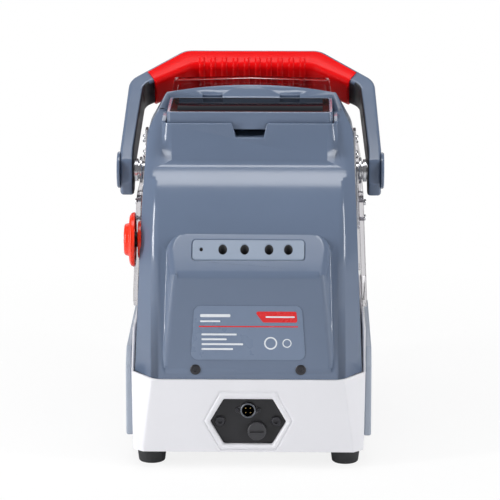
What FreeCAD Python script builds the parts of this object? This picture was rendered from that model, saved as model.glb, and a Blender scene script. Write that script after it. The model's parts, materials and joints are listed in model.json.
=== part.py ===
import FreeCAD, Part
import math
import os

import Sketcher
from FreeCAD import Placement, Rotation, Vector

# Portable key cutting machine. +Z is up and the machine's rear faces +Y, so its front faces -Y.
# The origin is on the surface that the feet stand on, in the middle of the machine.
# Depths are measured from the rear face towards the front, heights from that surface
# and half widths from the middle plane. All lengths are in millimetres.
SIZES = {
    # whole machine
    "wall": 3.0,
    "fit_gap": 0.3,
    "bore_gap": 0.05,
    # feet
    "foot_height": 13.5,
    "foot_top_radius": 12.25,
    "foot_tip_radius": 10.5,
    "foot_edge_radius": 2.0,
    "foot_half_spread": 78.0,
    "foot_rear_depth": 22.0,
    "foot_front_inset": 22.0,
    "foot_recess_radius": 5.2,
    "foot_web": 6.0,
    "foot_screw_radius": 2.0,
    "foot_head_radius": 4.0,
    "foot_head_height": 2.5,
    # white base case
    "base_depth": 246.0,
    "base_low_half": 92.8,
    "base_high_half": 94.5,
    "base_crease_low": 84.5,
    "base_crease_high": 73.0,
    "base_chamfer_low": 8.0,
    "base_chamfer_high": 20.0,
    "base_front_chamfer": 12.0,
    "parting_height": 73.6,
    "rebate_end_depth": 116.0,
    "parting_rise": 2.4,
    "rim_height": 104.0,
    "rim_start_depth": 17.0,
    "rim_end_depth": 50.0,
    "plate_thickness": 4.0,
    # grey side panels on the base
    "side_panel_half": 99.0,
    "side_panel_low": 20.0,
    "side_panel_high": 91.5,
    "side_panel_start": 25.0,
    "side_panel_inset": 34.0,
    "side_panel_slant": 14.0,
    # power panel in its bezel
    "bezel_height": 39.2,
    "bezel_half": 36.3,
    "bezel_flat_half": 23.0,
    "bezel_rise": 24.9,
    "bezel_depth": 5.0,
    "bezel_boss_depth": 14.0,
    "panel_height": 38.0,
    "panel_half": 30.3,
    "panel_flat_half": 19.5,
    "panel_rise": 18.4,
    "panel_thickness": 2.5,
    "panel_screw_half": 22.4,
    "panel_screw_radius": 4.1,
    "socket_height": 47.2,
    "socket_ring_radius": 6.1,
    "socket_core_radius": 4.9,
    "socket_ring_proud": 1.6,
    "socket_flange_half": 11.0,
    "socket_flange_rise": 7.6,
    "socket_flange_thickness": 1.2,
    "socket_flange_round": 2.0,
    "socket_screw_half": 8.4,
    "socket_screw_radius": 1.5,
    "socket_screw_head": 0.8,
    "contact_place": 1.9,
    "contact_radius": 0.6,
    "contact_proud": 1.5,
    "fuse_offset": 7.0,
    "fuse_height": 30.2,
    "fuse_cap_radius": 7.5,
    "fuse_stem_radius": 4.5,
    "fuse_barrel_radius": 6.0,
    "fuse_cap_depth": 1.2,
    "fuse_cap_round": 1.2,
    "fuse_slot_half": 5.6,
    "fuse_slot_half_width": 0.9,
    "fuse_slot_depth": 1.4,
    # grey rear cover: column and head
    "cover_low_half": 91.5,
    "cover_shoulder_half": 83.9,
    "cover_shoulder_height": 256.0,
    "cover_crown_half": 69.0,
    "cover_crown_height": 281.5,
    "cover_apex_height": 284.5,
    "cover_shoulder_radius": 24.0,
    "cover_crown_radius": 9.0,
    "cover_crease_half": 75.0,
    "lean_depth": 35.0,
    "lean_height": 215.0,
    "lean_radius": 85.0,
    "top_start_depth": 116.0,
    "top_start_height": 268.0,
    "top_radius": 60.0,
    "nose_depth": 164.0,
    "nose_height": 283.4,
    "nose_radius": 200.0,
    "overhang_height": 204.0,
    "overhang_lip": 10.0,
    "column_face_depth": 97.0,
    # hump with the sloping shelf
    "hump_depth": 1.0,
    "hump_height": 159.4,
    "hump_low_half": 78.0,
    "hump_high_half": 67.0,
    "hump_top": 188.4,
    "hump_corner_radius": 19.0,
    "hump_edge_radius": 6.0,
    "hump_draft": 15.0,
    "hump_reach": 34.0,
    # screen dock
    "dock_half": 71.3,
    "dock_depth": 70.0,
    "dock_end_depth": 150.0,
    "dock_bottom": 225.0,
    "dock_height": 268.0,
    "dock_corner_radius": 9.0,
    "recess_half": 67.6,
    "recess_floor": 262.0,
    "recess_start_depth": 73.5,
    "recess_end_depth": 143.0,
    "notch_top_half": 15.0,
    "notch_low_half": 11.2,
    "notch_floor": 256.4,
    "notch_end_depth": 86.0,
    # screen
    "screen_margin": 0.6,
    "screen_top": 276.5,
    "screen_corner_radius": 4.0,
    "glass_margin": 2.9,
    "glass_thickness": 1.6,
    "glass_corner_radius": 2.5,
    "screen_hinge_place": 32.0,
    "screen_hinge_half": 5.0,
    "screen_ear_width": 2.6,
    "screen_ear_radius": 2.6,
    "screen_ear_reach": 6.6,
    "screen_hinge_half_depth": 2.0,
    "screen_pin_radius": 1.4,
    "screen_pin_height": 273.0,
    "screen_pin_ahead": 3.4,
    "relief_above_pin": 1.0,
    "relief_run": 3.3,
    "relief_rise": 4.8,
    # tool rack, rating plate and cover screws on the hump
    "rack_half": 44.9,
    "rack_start": 10.5,
    "rack_end": 24.0,
    "rack_proud": 0.4,
    "rack_corner_radius": 2.6,
    "rack_floor": 148.0,
    "tool_hole_radius": 3.45,
    "tool_hole_floor": 150.0,
    "tool_hole_step": 2.0,
    "tool_hole_depth": 17.5,
    "tool_place_one": 20.4,
    "tool_place_two": 3.0,
    "tool_place_three": -16.4,
    "tool_place_four": -31.8,
    "small_hole_place": 37.5,
    "small_hole_radius": 1.35,
    "rating_top_half": 42.6,
    "rating_low_half": 45.8,
    "rating_top": 134.0,
    "rating_low": 89.8,
    "rating_thickness": 0.5,
    "rating_corner_radius": 5.5,
    "cover_screw_half": 42.0,
    "cover_screw_height": 81.5,
    "cover_screw_radius": 4.2,
    "cover_screw_head": 0.8,
    "screw_shank_radius": 1.8,
    # emergency stop
    "estop_depth": 52.0,
    "estop_height": 176.0,
    "estop_seat": 86.4,
    "estop_flange_radius": 15.0,
    "estop_flange_top": 89.4,
    "estop_barrel_radius": 11.0,
    "estop_barrel_end": 70.0,
    "estop_nut_radius": 15.5,
    "estop_nut_width": 4.0,
    "estop_stem_radius": 6.0,
    "estop_head_low": 92.8,
    "estop_rim_radius": 22.0,
    "estop_rim_top": 95.4,
    "estop_rim_bevel": 3.0,
    "estop_dish_top": 96.2,
    "estop_edge": 1.0,
    "estop_dome_radius": 13.5,
    "estop_dome_top": 100.6,
    "estop_dome_round": 2.2,
    # pivot of the clear cover and of the handle
    "pivot_depth": 120.0,
    "pivot_height": 219.5,
    "pin_radius": 5.0,
    "pin_shoulder_radius": 7.5,
    "pin_start_half": 78.0,
    "pad_half": 84.2,
    "pad_drop": 14.5,
    "pad_rise": 36.5,
    "pad_half_width": 11.0,
    "bracket_thickness": 2.2,
    "bracket_half_width": 8.0,
    "bracket_drop": 11.5,
    "bracket_rise": 34.5,
    "bracket_screw_radius": 3.4,
    "bracket_screw_rise": 13.5,
    "bracket_screw_pitch": 13.0,
    "arm_half_width": 7.5,
    "arm_drop": 47.5,
    "arm_screw_radius": 2.6,
    "arm_screw_head": 1.6,
    "arm_screw_drop": 26.5,
    "arm_screw_pitch": 13.0,
    # clear cover
    "hood_wall": 4.0,
    "hood_low_half": 96.5,
    "hood_low": 106.6,
    "hood_waist_half": 92.2,
    "hood_waist": 213.0,
    "hood_neck_half": 88.5,
    "hood_neck": 232.0,
    "hood_shoulder_half": 79.5,
    "hood_shoulder": 252.0,
    "hood_temple_half": 68.5,
    "hood_temple": 260.0,
    "hood_top_half": 64.5,
    "hood_top_corner": 286.8,
    "hood_top": 288.8,
    "hood_back_depth": 163.0,
    "hood_neck_depth": 170.0,
    "hood_cheek_depth": 178.0,
    "hood_cheek_height": 262.0,
    "hood_sill_depth": 140.0,
    "hood_sill_drop": 13.5,
    "hood_rear_depth": 87.0,
    "hood_front_inset": 3.0,
    "hood_knee": 186.0,
    "hood_brow_depth": 198.0,
    "hood_brow": 254.0,
    "hood_lip_depth": 176.0,
    "hood_corner_radius": 26.0,
    "hood_bend_radius": 30.0,
    "grip_half": 30.0,
    "grip_low": 116.0,
    "grip_high": 128.0,
    "grip_slant": 3.0,
    # carrying handle, drawn upright from the pivot and then leant forward
    "handle_lean": 53.0,
    "handle_reach": 123.5,
    "handle_flat_half": 57.0,
    "handle_shoulder_inset": 4.7,
    "handle_shoulder_reach": 88.5,
    "handle_taper": 0.78,
    "handle_bar": 17.0,
    "handle_arm": 12.5,
    "handle_inner_flat_half": 49.9,
    "handle_half_width": 14.5,
    "handle_bend_radius": 16.0,
    "handle_inner_radius": 10.0,
    "lug_clearance": 3.8,
    "lug_thickness": 11.4,
    "lug_tail": 6.0,
    "lug_rear": 10.5,
    "lug_chin": 9.0,
    "lug_toe": 3.0,
    "lug_drop": 20.6,
    "lug_heel": 9.0,
    "lug_front": 17.5,
    "lug_cheek": 12.0,
    "lug_brow": 4.0,
    "lug_chin_round": 2.0,
    "lug_heel_round": 5.0,
    "lug_arm_reach": 12.0,
    "cap_radius": 15.0,
    "cap_thickness": 2.4,
    "grip_rim": 2.5,
    "grip_inside": 3.0,
    "grip_proud": 1.4,
    "grip_end_half": 87.7,
    "grip_end_inner_half": 80.0,
    "grip_rib_count": 10,
    "grip_rib_half_length": 13.0,
    "grip_rib_pitch": 9.4,
    "grip_rib_radius": 2.6,
    "grip_rib_proud": 0.9,
    # frame castings
    "column_depth": 56.0,
    "column_thickness": 8.0,
    "column_half": 50.0,
    "column_top": 216.0,
    "column_foot_depth": 34.0,
    "column_foot_height": 10.0,
    "z_arm_reach": 21.5,
    "z_arm_thickness": 8.0,
    "z_arm_low": 138.0,
    "board_standoff_radius": 3.0,
    "board_standoff_inset": 5.0,
    "bed_half": 88.0,
    "bed_top": 70.0,
    "bed_thickness": 4.0,
    "bed_leg_half": 70.0,
    "bed_leg_thickness": 4.0,
    "bed_end_inset": 24.0,
    "bed_wall": 7.0,
    "bed_wall_top": 89.0,
    "chip_slot_half": 34.0,
    "chip_slot_start": 100.0,
    "chip_slot_end": 176.0,
    # chip drawer
    "drawer_half": 60.0,
    "drawer_start_depth": 128.0,
    "drawer_top": 57.0,
    "drawer_wall": 2.0,
    "drawer_face_half": 63.0,
    "drawer_face_top": 60.0,
    "drawer_pull_half": 22.0,
    "drawer_pull_height": 6.0,
    "drawer_pull_depth": 4.0,
    # slides
    "spindle_depth": 132.0,
    "slide_depth": 78.0,
    "z_rod_half": 38.0,
    "z_rod_radius": 5.0,
    "screw_radius": 4.0,
    "z_block_half": 48.0,
    "z_block_low": 158.0,
    "z_block_high": 196.0,
    "z_block_half_width": 8.0,
    "z_motor_half": 13.5,
    "z_motor_length": 28.0,
    "y_rod_half": 42.0,
    "y_rod_radius": 5.0,
    "y_axis_height": 80.0,
    "y_motor_half": 17.5,
    "y_motor_length": 26.0,
    "y_block_half": 62.0,
    "y_block_half_length": 30.0,
    "y_block_low": 72.0,
    "y_block_high": 88.0,
    "x_cheek_width": 6.0,
    "x_cheek_high": 104.0,
    "x_rod_spread": 18.0,
    "x_rod_radius": 4.0,
    "x_axis_height": 97.0,
    "x_screw_radius": 3.5,
    "x_motor_half": 14.0,
    "x_motor_length": 18.0,
    "x_block_half": 30.0,
    "x_block_half_length": 24.0,
    "x_block_low_height": 90.0,
    "x_block_high": 106.0,
    # key clamp
    "clamp_half": 26.0,
    "clamp_half_length": 22.0,
    "clamp_floor": 112.0,
    "clamp_top": 130.0,
    "jaw_gap_rear": 6.0,
    "jaw_gap_front": 2.0,
    "jaw_length": 12.0,
    "clamp_front_wall": 5.0,
    "clamp_screw_height": 121.0,
    "clamp_screw_radius": 3.0,
    "clamp_knob_radius": 9.0,
    "clamp_knob_length": 11.0,
    "clamp_knob_round": 1.5,
    # spindle, its motor and the probe
    "spindle_radius": 6.0,
    "spindle_low": 150.0,
    "spindle_high": 209.0,
    "housing_radius": 15.5,
    "housing_low": 157.0,
    "head_plate_low": 186.0,
    "head_plate_half": 24.0,
    "head_plate_front": 148.0,
    "probe_offset": 30.0,
    "bearing_radius": 11.0,
    "bearing_width": 8.0,
    "collet_radius": 9.0,
    "collet_low": 146.0,
    "collet_high": 156.4,
    "collet_nose_radius": 6.5,
    "collet_nose_height": 3.0,
    "cutter_radius": 3.0,
    "cutter_tip_radius": 1.2,
    "cutter_tip_height": 2.0,
    "cutter_low": 142.0,
    "cutter_high": 166.0,
    "motor_depth": 101.0,
    "motor_radius": 14.0,
    "motor_low": 152.0,
    "motor_shaft_radius": 2.5,
    "pulley_low": 199.0,
    "pulley_high": 207.0,
    "pulley_radius": 10.0,
    "belt_thickness": 1.6,
    "belt_edge": 1.0,
    "probe_radius": 1.6,
    "probe_low": 143.0,
    "probe_collar_radius": 4.5,
    "probe_collar_height": 8.0,
    # electrics
    "board_half": 42.0,
    "board_low": 112.0,
    "board_high": 196.0,
    "board_depth": 44.4,
    "board_thickness": 1.6,
    "cooler_half": 14.0,
    "cooler_height": 5.0,
    "module_half": 38.0,
    "module_low": 92.0,
    "module_high": 146.0,
    "module_end_depth": 26.0,
    "lamp_half": 36.0,
    "lamp_height": 4.0,
    "lamp_width": 6.0,
    "lamp_inset": 1.0,
}

doc = FreeCAD.newDocument("key_cutting_machine")
sheet = doc.addObject("Spreadsheet::Sheet", "Sizes")
nodes = []


class Size:
    """A length that keeps the sheet formula it comes from, so sums of sizes stay tied to the sheet."""

    def __init__(self, value, formula):
        self.value = float(value)
        self.formula = formula

    def __float__(self):
        return self.value

    def __add__(self, other):
        other = size(other)
        return Size(self.value + other.value, f"({self.formula} + {other.formula})")

    def __sub__(self, other):
        other = size(other)
        return Size(self.value - other.value, f"({self.formula} - {other.formula})")

    def __mul__(self, other):
        other = size(other)
        return Size(self.value * other.value, f"({self.formula} * {other.formula})")

    def __truediv__(self, other):
        other = size(other)
        return Size(self.value / other.value, f"({self.formula} / {other.formula})")

    def __rmul__(self, other):
        return size(other) * self

    def __neg__(self):
        return size(0) - self


def size(number):
    """A plain number as a size; a size stays as it is."""
    if isinstance(number, Size):
        return number
    return Size(number, f"({float(number)})")


class Sizes:
    """The sheet's values by name."""


s = Sizes()
for row, (alias, value) in enumerate(SIZES.items(), start=1):
    sheet.set(f"A{row}", alias)
    sheet.set(f"B{row}", str(value))
    sheet.setAlias(f"B{row}", alias)
    setattr(s, alias, Size(value, f"Sizes.{alias}"))
doc.recompute()
# What stands at the front keeps its distance from the base's front face.
s.overall_depth = s.base_depth + s.drawer_pull_depth
s.foot_front_depth = s.base_depth - s.foot_front_inset
s.side_panel_end = s.base_depth - s.side_panel_inset
s.hood_front_depth = s.base_depth - s.hood_front_inset
s.bed_end_depth = s.base_depth - s.bed_end_inset
# The hinges keep their distances from the pivot, and the handle its distance from the clear cover.
s.pad_low = s.pivot_height - s.pad_drop
s.pad_high = s.pivot_height + s.pad_rise
s.bracket_low = s.pivot_height - s.bracket_drop
s.bracket_high = s.pivot_height + s.bracket_rise
s.bracket_screw_low = s.pivot_height + s.bracket_screw_rise
s.bracket_screw_high = s.bracket_screw_low + s.bracket_screw_pitch
s.arm_low = s.pivot_height - s.arm_drop
s.arm_screw_high = s.pivot_height - s.arm_screw_drop
s.arm_screw_low = s.arm_screw_high - s.arm_screw_pitch
s.hood_sill = s.pivot_height - s.hood_sill_drop
s.lug_inner_half = s.hood_waist_half + s.lug_clearance
s.lug_outer_half = s.lug_inner_half + s.lug_thickness
s.handle_shoulder_half = s.lug_outer_half - s.handle_shoulder_inset


def back(depth):
    """The Y of a depth measured from the rear face."""
    return s.overall_depth / 2 - depth


def depths(near, far):
    """The Y span between two depths."""
    return back(far), back(near)


def bind(thing, prop, value):
    """Tie a property to the sheet."""
    thing.setExpression(prop, size(value).formula)


TURNS = {
    "x": Rotation(Vector(0, 1, 0), 90),
    "y": Rotation(Vector(1, 0, 0), -90),
    "z": Rotation(),
    "-y": Rotation(Vector(1, 0, 0), 90),
}


def place(thing, x, y, z):
    """Put an object at a point that follows the sheet."""
    for letter, value in zip("xyz", (x, y, z)):
        bind(thing, "Placement.Base." + letter, value)


def box(label, x, y, z):
    """A block between two values along each axis."""
    block = doc.addObject("Part::Box", label)
    for prop, (low, high) in zip(("Length", "Width", "Height"), (x, y, z)):
        bind(block, prop, size(high) - low)
    place(block, x[0], y[0], z[0])
    return block


def rod(label, axis, centre, span, radius):
    """A round bar along one axis; centre is its place on the other two axes."""
    bar = doc.addObject("Part::Cylinder", label)
    bar.Placement = Placement(Vector(), TURNS[axis])
    bind(bar, "Radius", radius)
    bind(bar, "Height", size(span[1]) - span[0])
    spots = dict(zip([letter for letter in "xyz" if letter != axis], centre))
    spots[axis] = span[0]
    place(bar, spots["x"], spots["y"], spots["z"])
    return bar


def unit(start, end):
    """The direction from one point of a drawing to another."""
    step = end - start
    return step.normalize()


def outline(body, plane, corners, rounds=None, level=0):
    """A closed drawing of straight runs on one of the body's planes; rounds gives corner radii."""
    rounds = rounds or {}
    roles = {"xy": "XY_Plane", "xz": "XZ_Plane", "yz": "YZ_Plane"}
    flat = next(f for f in body.Origin.OriginFeatures if f.Role == roles[plane])
    drawing = body.newObject("Sketcher::SketchObject", body.Label + "_drawing")
    drawing.AttachmentSupport = [(flat, "")]
    drawing.MapMode = "FlatFace"
    # a drawing on the xz plane faces -Y, so its level counts the other way
    bind(drawing, "AttachmentOffset.Base.z", -size(level) if plane == "xz" else level)
    points = [Vector(float(u), float(v), 0) for u, v in corners]
    count = len(points)
    entries, exits, arcs = list(points), list(points), {}
    for index, radius in rounds.items():
        point = points[index]
        before = unit(point, points[index - 1])
        after = unit(point, points[(index + 1) % count])
        half_angle = before.getAngle(after) / 2
        run = float(radius) / math.tan(half_angle)
        entries[index] = point + before * run
        exits[index] = point + after * run
        centre = point + (before + after).normalize() * (float(radius) / math.sin(half_angle))
        left_turn = after.cross(before).z > 0
        ends = (entries[index], exits[index]) if left_turn else (exits[index], entries[index])
        angles = [math.atan2(end.y - centre.y, end.x - centre.x) for end in ends]
        circle = Part.Circle(centre, Vector(0, 0, 1), float(radius))
        arcs[index] = (Part.ArcOfCircle(circle, *angles), left_turn)
    for index in range(count):
        drawing.addGeometry(Part.LineSegment(exits[index], entries[(index + 1) % count]), False)
    for index, (u, v) in enumerate(corners):
        line_in = (index - 1) % count
        if index in arcs:
            arc, left_turn = arcs[index]
            bend = drawing.addGeometry(arc, False)
            first, last = (1, 2) if left_turn else (2, 1)
            drawing.addConstraint(Sketcher.Constraint("Tangent", line_in, 2, bend, first))
            drawing.addConstraint(Sketcher.Constraint("Tangent", bend, last, index, 1))
            tie = drawing.addConstraint(Sketcher.Constraint("Radius", bend, float(rounds[index])))
            bind(drawing, f"Constraints[{tie}]", rounds[index])
            held = drawing.addGeometry(Part.Point(points[index]), True)
            drawing.addConstraint(Sketcher.Constraint("PointOnObject", held, 1, line_in))
            drawing.addConstraint(Sketcher.Constraint("PointOnObject", held, 1, index))
        else:
            drawing.addConstraint(Sketcher.Constraint("Coincident", line_in, 2, index, 1))
            held = index
        for kind, value in (("DistanceX", u), ("DistanceY", v)):
            tie = drawing.addConstraint(Sketcher.Constraint(kind, -1, 1, held, 1, float(value)))
            bind(drawing, f"Constraints[{tie}]", value)
    return drawing


def prism(label, plane, corners, span, rounds=None):
    """An outline pulled along the third axis from span's first value to its second."""
    body = doc.addObject("PartDesign::Body", label)
    drawing = outline(body, plane, corners, rounds, span[0])
    pad = body.newObject("PartDesign::Pad", label + "_pad")
    pad.Profile = drawing
    pad.Reversed = plane == "xz"
    bind(pad, "Length", size(span[1]) - span[0])
    body.Tip = pad
    return body


def loft(label, plane, first, last):
    """A solid with straight sides between two outlines, each given as (level, corners)."""
    body = doc.addObject("PartDesign::Body", label)
    drawings = [outline(body, plane, corners, None, level) for level, corners in (first, last)]
    skin = body.newObject("PartDesign::AdditiveLoft", label + "_loft")
    skin.Profile = drawings[0]
    skin.Sections = [drawings[1]]
    skin.Ruled = True
    body.Tip = skin
    return body


def turned(label, axis, spot, profile, rounds=None):
    """A turned piece; profile gives (radius, distance along the axis) pairs from spot."""
    body = doc.addObject("PartDesign::Body", label)
    drawing = outline(body, "xz", profile, rounds)
    turn = body.newObject("PartDesign::Revolution", label + "_turn")
    turn.Profile = drawing
    turn.ReferenceAxis = (drawing, ["V_Axis"])
    turn.Angle = 360
    body.Tip = turn
    body.Placement = Placement(Vector(), TURNS[axis])
    place(body, *spot)
    return body


def pulled(label, drawing, direction, length, reverse=0):
    """A drawing pulled along any direction."""
    bar = doc.addObject("Part::Extrusion", label)
    bar.Base = drawing
    bar.DirMode = "Custom"
    bar.Dir = Vector(*direction)
    bar.Solid = True
    bind(bar, "LengthFwd", length)
    bind(bar, "LengthRev", reverse)
    return bar


def inset(label, drawing, amount):
    """A drawing drawn in by an amount all round."""
    smaller = doc.addObject("Part::Offset2D", label)
    smaller.Source = drawing
    bind(smaller, "Value", -size(amount))
    return smaller


def fuse(label, *pieces):
    """One solid from pieces that touch or overlap."""
    whole = doc.addObject("Part::MultiFuse", label)
    whole.Shapes = list(pieces)
    whole.Refine = True
    return whole


def common(label, *pieces):
    """What all the pieces share."""
    shared = doc.addObject("Part::MultiCommon", label)
    shared.Shapes = list(pieces)
    return shared


def cut(label, base, *tools):
    """A piece with one or more others taken out of it."""
    tool = tools[0]
    if len(tools) > 1:
        tool = doc.addObject("Part::MultiFuse", label + "_tools")
        tool.Shapes = list(tools)
        tool.Refine = False
    result = doc.addObject("Part::Cut", label)
    result.Base = base
    result.Tool = tool
    return result


def rounded(label, piece, radius, chosen):
    """A piece with its chosen edges rounded."""
    doc.recompute()
    softer = doc.addObject("Part::Fillet", label)
    softer.Base = piece
    softer.Edges = [
        (number, float(radius), float(radius))
        for number, edge in enumerate(piece.Shape.Edges, start=1)
        if chosen(edge)
    ]
    return softer


def mirrored(label, piece):
    """The same piece on the other side of the machine's middle plane."""
    other = doc.addObject("Part::Mirroring", label)
    other.Source = piece
    other.Normal = Vector(1, 0, 0)
    return other


def group(label, pieces):
    """Separate solids that share one node."""
    bundle = doc.addObject("Part::Compound", label)
    bundle.Links = list(pieces)
    return bundle


def node(name, piece):
    """Name a finished piece for its file."""
    piece.Label = name
    nodes.append(piece)
    return piece


def both_sides(corners):
    """An outline given by its +X half, from bottom to top, closed by its mirror image."""
    return list(corners) + [(-u, v) for u, v in reversed(list(corners))]


# Feet and base

def feet():
    for_feet, for_screws = [], []
    plate_low = s.foot_height
    for side in (1, -1):
        for depth in (s.foot_rear_depth, s.foot_front_depth):
            spot = (s.foot_half_spread * side, back(depth), 0)
            bore = s.foot_screw_radius + s.bore_gap
            seat = s.foot_height - s.foot_web
            profile = [
                (bore, seat),
                (bore, plate_low),
                (s.foot_top_radius, plate_low),
                (s.foot_tip_radius, 0),
                (s.foot_recess_radius, 0),
                (s.foot_recess_radius, seat),
            ]
            for_feet.append(turned("foot", "z", spot, profile, {3: s.foot_edge_radius}))
            shank_top = plate_low + s.plate_thickness
            screw = [
                (0, seat - s.foot_head_height),
                (s.foot_head_radius, seat - s.foot_head_height),
                (s.foot_head_radius, seat),
                (s.foot_screw_radius, seat),
                (s.foot_screw_radius, shank_top),
                (0, shank_top),
            ]
            for_screws.append(turned("foot_screw", "z", spot, screw))
    node("feet", group("feet", for_feet))
    node("foot_screws", group("foot_screws", for_screws))


def base_plan(half, crease, chamfer, shrink):
    """The base seen from above: rear corners chamfered wide, front corners chamfered small."""
    rear = back(0) - shrink
    front = back(s.base_depth) + shrink
    side = half - shrink
    small = s.base_front_chamfer
    return [
        (crease - shrink / 2, rear),
        (side, back(chamfer) - shrink / 2),
        (side, front + small),
        (side - small, front),
        (small - side, front),
        (-side, front + small),
        (-side, back(chamfer) - shrink / 2),
        (shrink / 2 - crease, rear),
    ]


def base_block(label, shrink, low, high):
    first = base_plan(s.base_low_half, s.base_crease_low, s.base_chamfer_low, shrink)
    last = base_plan(s.base_high_half, s.base_crease_high, s.base_chamfer_high, shrink)
    return loft(label, "xy", (low, first), (high, last))


def hexagon(half, flat_half, rise, height):
    """A hexagon with level top and bottom sides and a point at each side."""
    return [
        (flat_half, height - rise),
        (half, height),
        (flat_half, height + rise),
        (-flat_half, height + rise),
        (-half, height),
        (-flat_half, height - rise),
    ]


def panel_hexagon(margin):
    return hexagon(s.panel_half + margin, s.panel_flat_half + margin, s.panel_rise + margin, s.panel_height)


def base_shell():
    spill = s.wall
    outer = base_block("base_outside", size(0), s.foot_height, s.rim_height)
    inner = base_block("base_inside", s.wall, s.foot_height - spill, s.rim_height + spill)
    hollow = cut("base_hollow", outer, inner)
    boss_top = s.bezel_height + s.bezel_rise + s.wall
    boss = box(
        "bezel_boss",
        (-s.bezel_half - s.wall, s.bezel_half + s.wall),
        depths(s.wall / 2, s.bezel_boss_depth),
        (s.foot_height, boss_top),
    )
    mouth = hexagon(s.bezel_half, s.bezel_flat_half, s.bezel_rise, s.bezel_height)
    pocket = loft(
        "bezel_pocket", "xz", (back(s.bezel_depth), panel_hexagon(s.fit_gap)), (back(0), mouth)
    )
    seat_depth = s.bezel_depth + s.panel_thickness
    seat = prism("panel_seat", "xz", panel_hexagon(s.fit_gap), depths(s.bezel_depth - s.fit_gap, seat_depth))
    through = depths(s.bezel_depth, s.bezel_boss_depth + s.wall)
    socket_way = rod("socket_way", "y", (0, s.socket_height), through, s.socket_ring_radius + s.fit_gap)
    fuse_way = rod(
        "fuse_way", "y", (-s.fuse_offset, s.fuse_height), through, s.fuse_barrel_radius + s.fit_gap
    )
    screw_ways = [
        rod("panel_screw_way", "y", (s.panel_screw_half * side, s.panel_height), through,
            s.screw_shank_radius + s.bore_gap)
        for side in (1, -1)
    ]
    over = s.rim_height + spill
    above_rim = prism(
        "above_rim", "yz",
        [
            (back(-spill), s.parting_height),
            (back(0), s.parting_height),
            (back(s.rim_start_depth), s.parting_height + s.parting_rise),
            (back(s.rim_end_depth), s.rim_height),
            (back(s.rim_end_depth), over),
            (back(-spill), over),
        ],
        (-s.base_high_half - spill, s.base_high_half + spill),
    )
    drawer_mouth = box(
        "drawer_mouth",
        (-s.drawer_face_half - s.fit_gap, s.drawer_face_half + s.fit_gap),
        depths(s.base_depth - 2 * s.wall, s.base_depth + s.wall),
        (s.foot_height + s.plate_thickness, s.drawer_face_top + s.fit_gap),
    )
    cover_half = s.cover_low_half + s.fit_gap
    cover_rebate = box("cover_rebate", (-cover_half, cover_half),
                       depths(s.rim_start_depth, s.rebate_end_depth), (s.parting_height, over))
    whole = fuse("base_with_boss", hollow, boss)
    node("base_shell", cut("base_shell", whole, pocket, seat, socket_way, fuse_way, *screw_ways,
                           above_rim, drawer_mouth, cover_rebate))
    return outer


def base_plate():
    top = s.foot_height + s.plate_thickness
    plan = base_plan(s.base_low_half, s.base_crease_low, s.base_chamfer_low, s.wall + 2 * s.fit_gap)
    slab = prism("base_plate_slab", "xy", plan, (s.foot_height, top))
    notch_half = s.bezel_half + s.wall + s.fit_gap
    notch = box("bezel_notch", (-notch_half, notch_half), depths(0, s.bezel_boss_depth + s.fit_gap),
                (s.foot_height, top))
    holes = [
        rod("foot_screw_hole", "z", (s.foot_half_spread * side, back(depth)), (s.foot_height, top),
            s.foot_screw_radius + s.bore_gap)
        for side in (1, -1)
        for depth in (s.foot_rear_depth, s.foot_front_depth)
    ]
    node("base_plate", cut("base_plate", slab, notch, *holes))


def side_panels(base_outside):
    slant = s.side_panel_slant
    profile = [
        (back(s.side_panel_end - slant / 2), s.side_panel_low),
        (back(s.side_panel_start), s.side_panel_low),
        (back(s.side_panel_start), s.side_panel_high - slant),
        (back(s.side_panel_start + slant), s.side_panel_high),
        (back(s.side_panel_end - slant), s.side_panel_high),
        (back(s.side_panel_end), s.side_panel_high - slant),
        (back(s.side_panel_end), s.side_panel_low + slant / 2),
    ]
    slab = prism("side_panel_slab", "yz", profile, (s.base_low_half - s.wall, s.side_panel_half))
    left = cut("side_panel", slab, base_outside)
    node("side_panels", group("side_panels", [left, mirrored("side_panel_mirror", left)]))


# Grey rear cover

def cover_profile():
    """The cover from the side: leaning rear, rounded shoulder, rising top, overhang above the chamber."""
    low = s.parting_height + s.fit_gap
    step = low + s.parting_rise
    rise = (s.nose_height - s.top_start_height) / (s.nose_depth - s.top_start_depth)
    front = s.nose_depth + s.wall
    corners = [
        (back(0), low),
        (back(s.lean_depth), s.lean_height),
        (back(s.top_start_depth), s.top_start_height),
        (back(front), s.nose_height + rise * s.wall),
        (back(front), s.overhang_height),
        (back(s.column_face_depth), s.overhang_height),
        (back(s.column_face_depth), step),
        (back(s.rim_start_depth), step),
    ]
    return corners, {1: s.lean_radius, 2: s.top_radius}


def cover_front():
    """The cover from behind: tapering sides, sloping shoulders and a slight crown."""
    corners = [
        (s.cover_low_half, s.parting_height),
        (s.cover_shoulder_half, s.cover_shoulder_height),
        (s.cover_crown_half, s.cover_crown_height),
    ]
    left = [(-u, v) for u, v in reversed(corners)]
    apex = [(size(0), s.cover_apex_height)]
    radii = {1: s.cover_shoulder_radius, 2: s.cover_crown_radius}
    radii.update({4: s.cover_crown_radius, 5: s.cover_shoulder_radius})
    return corners + apex + left, radii


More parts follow.
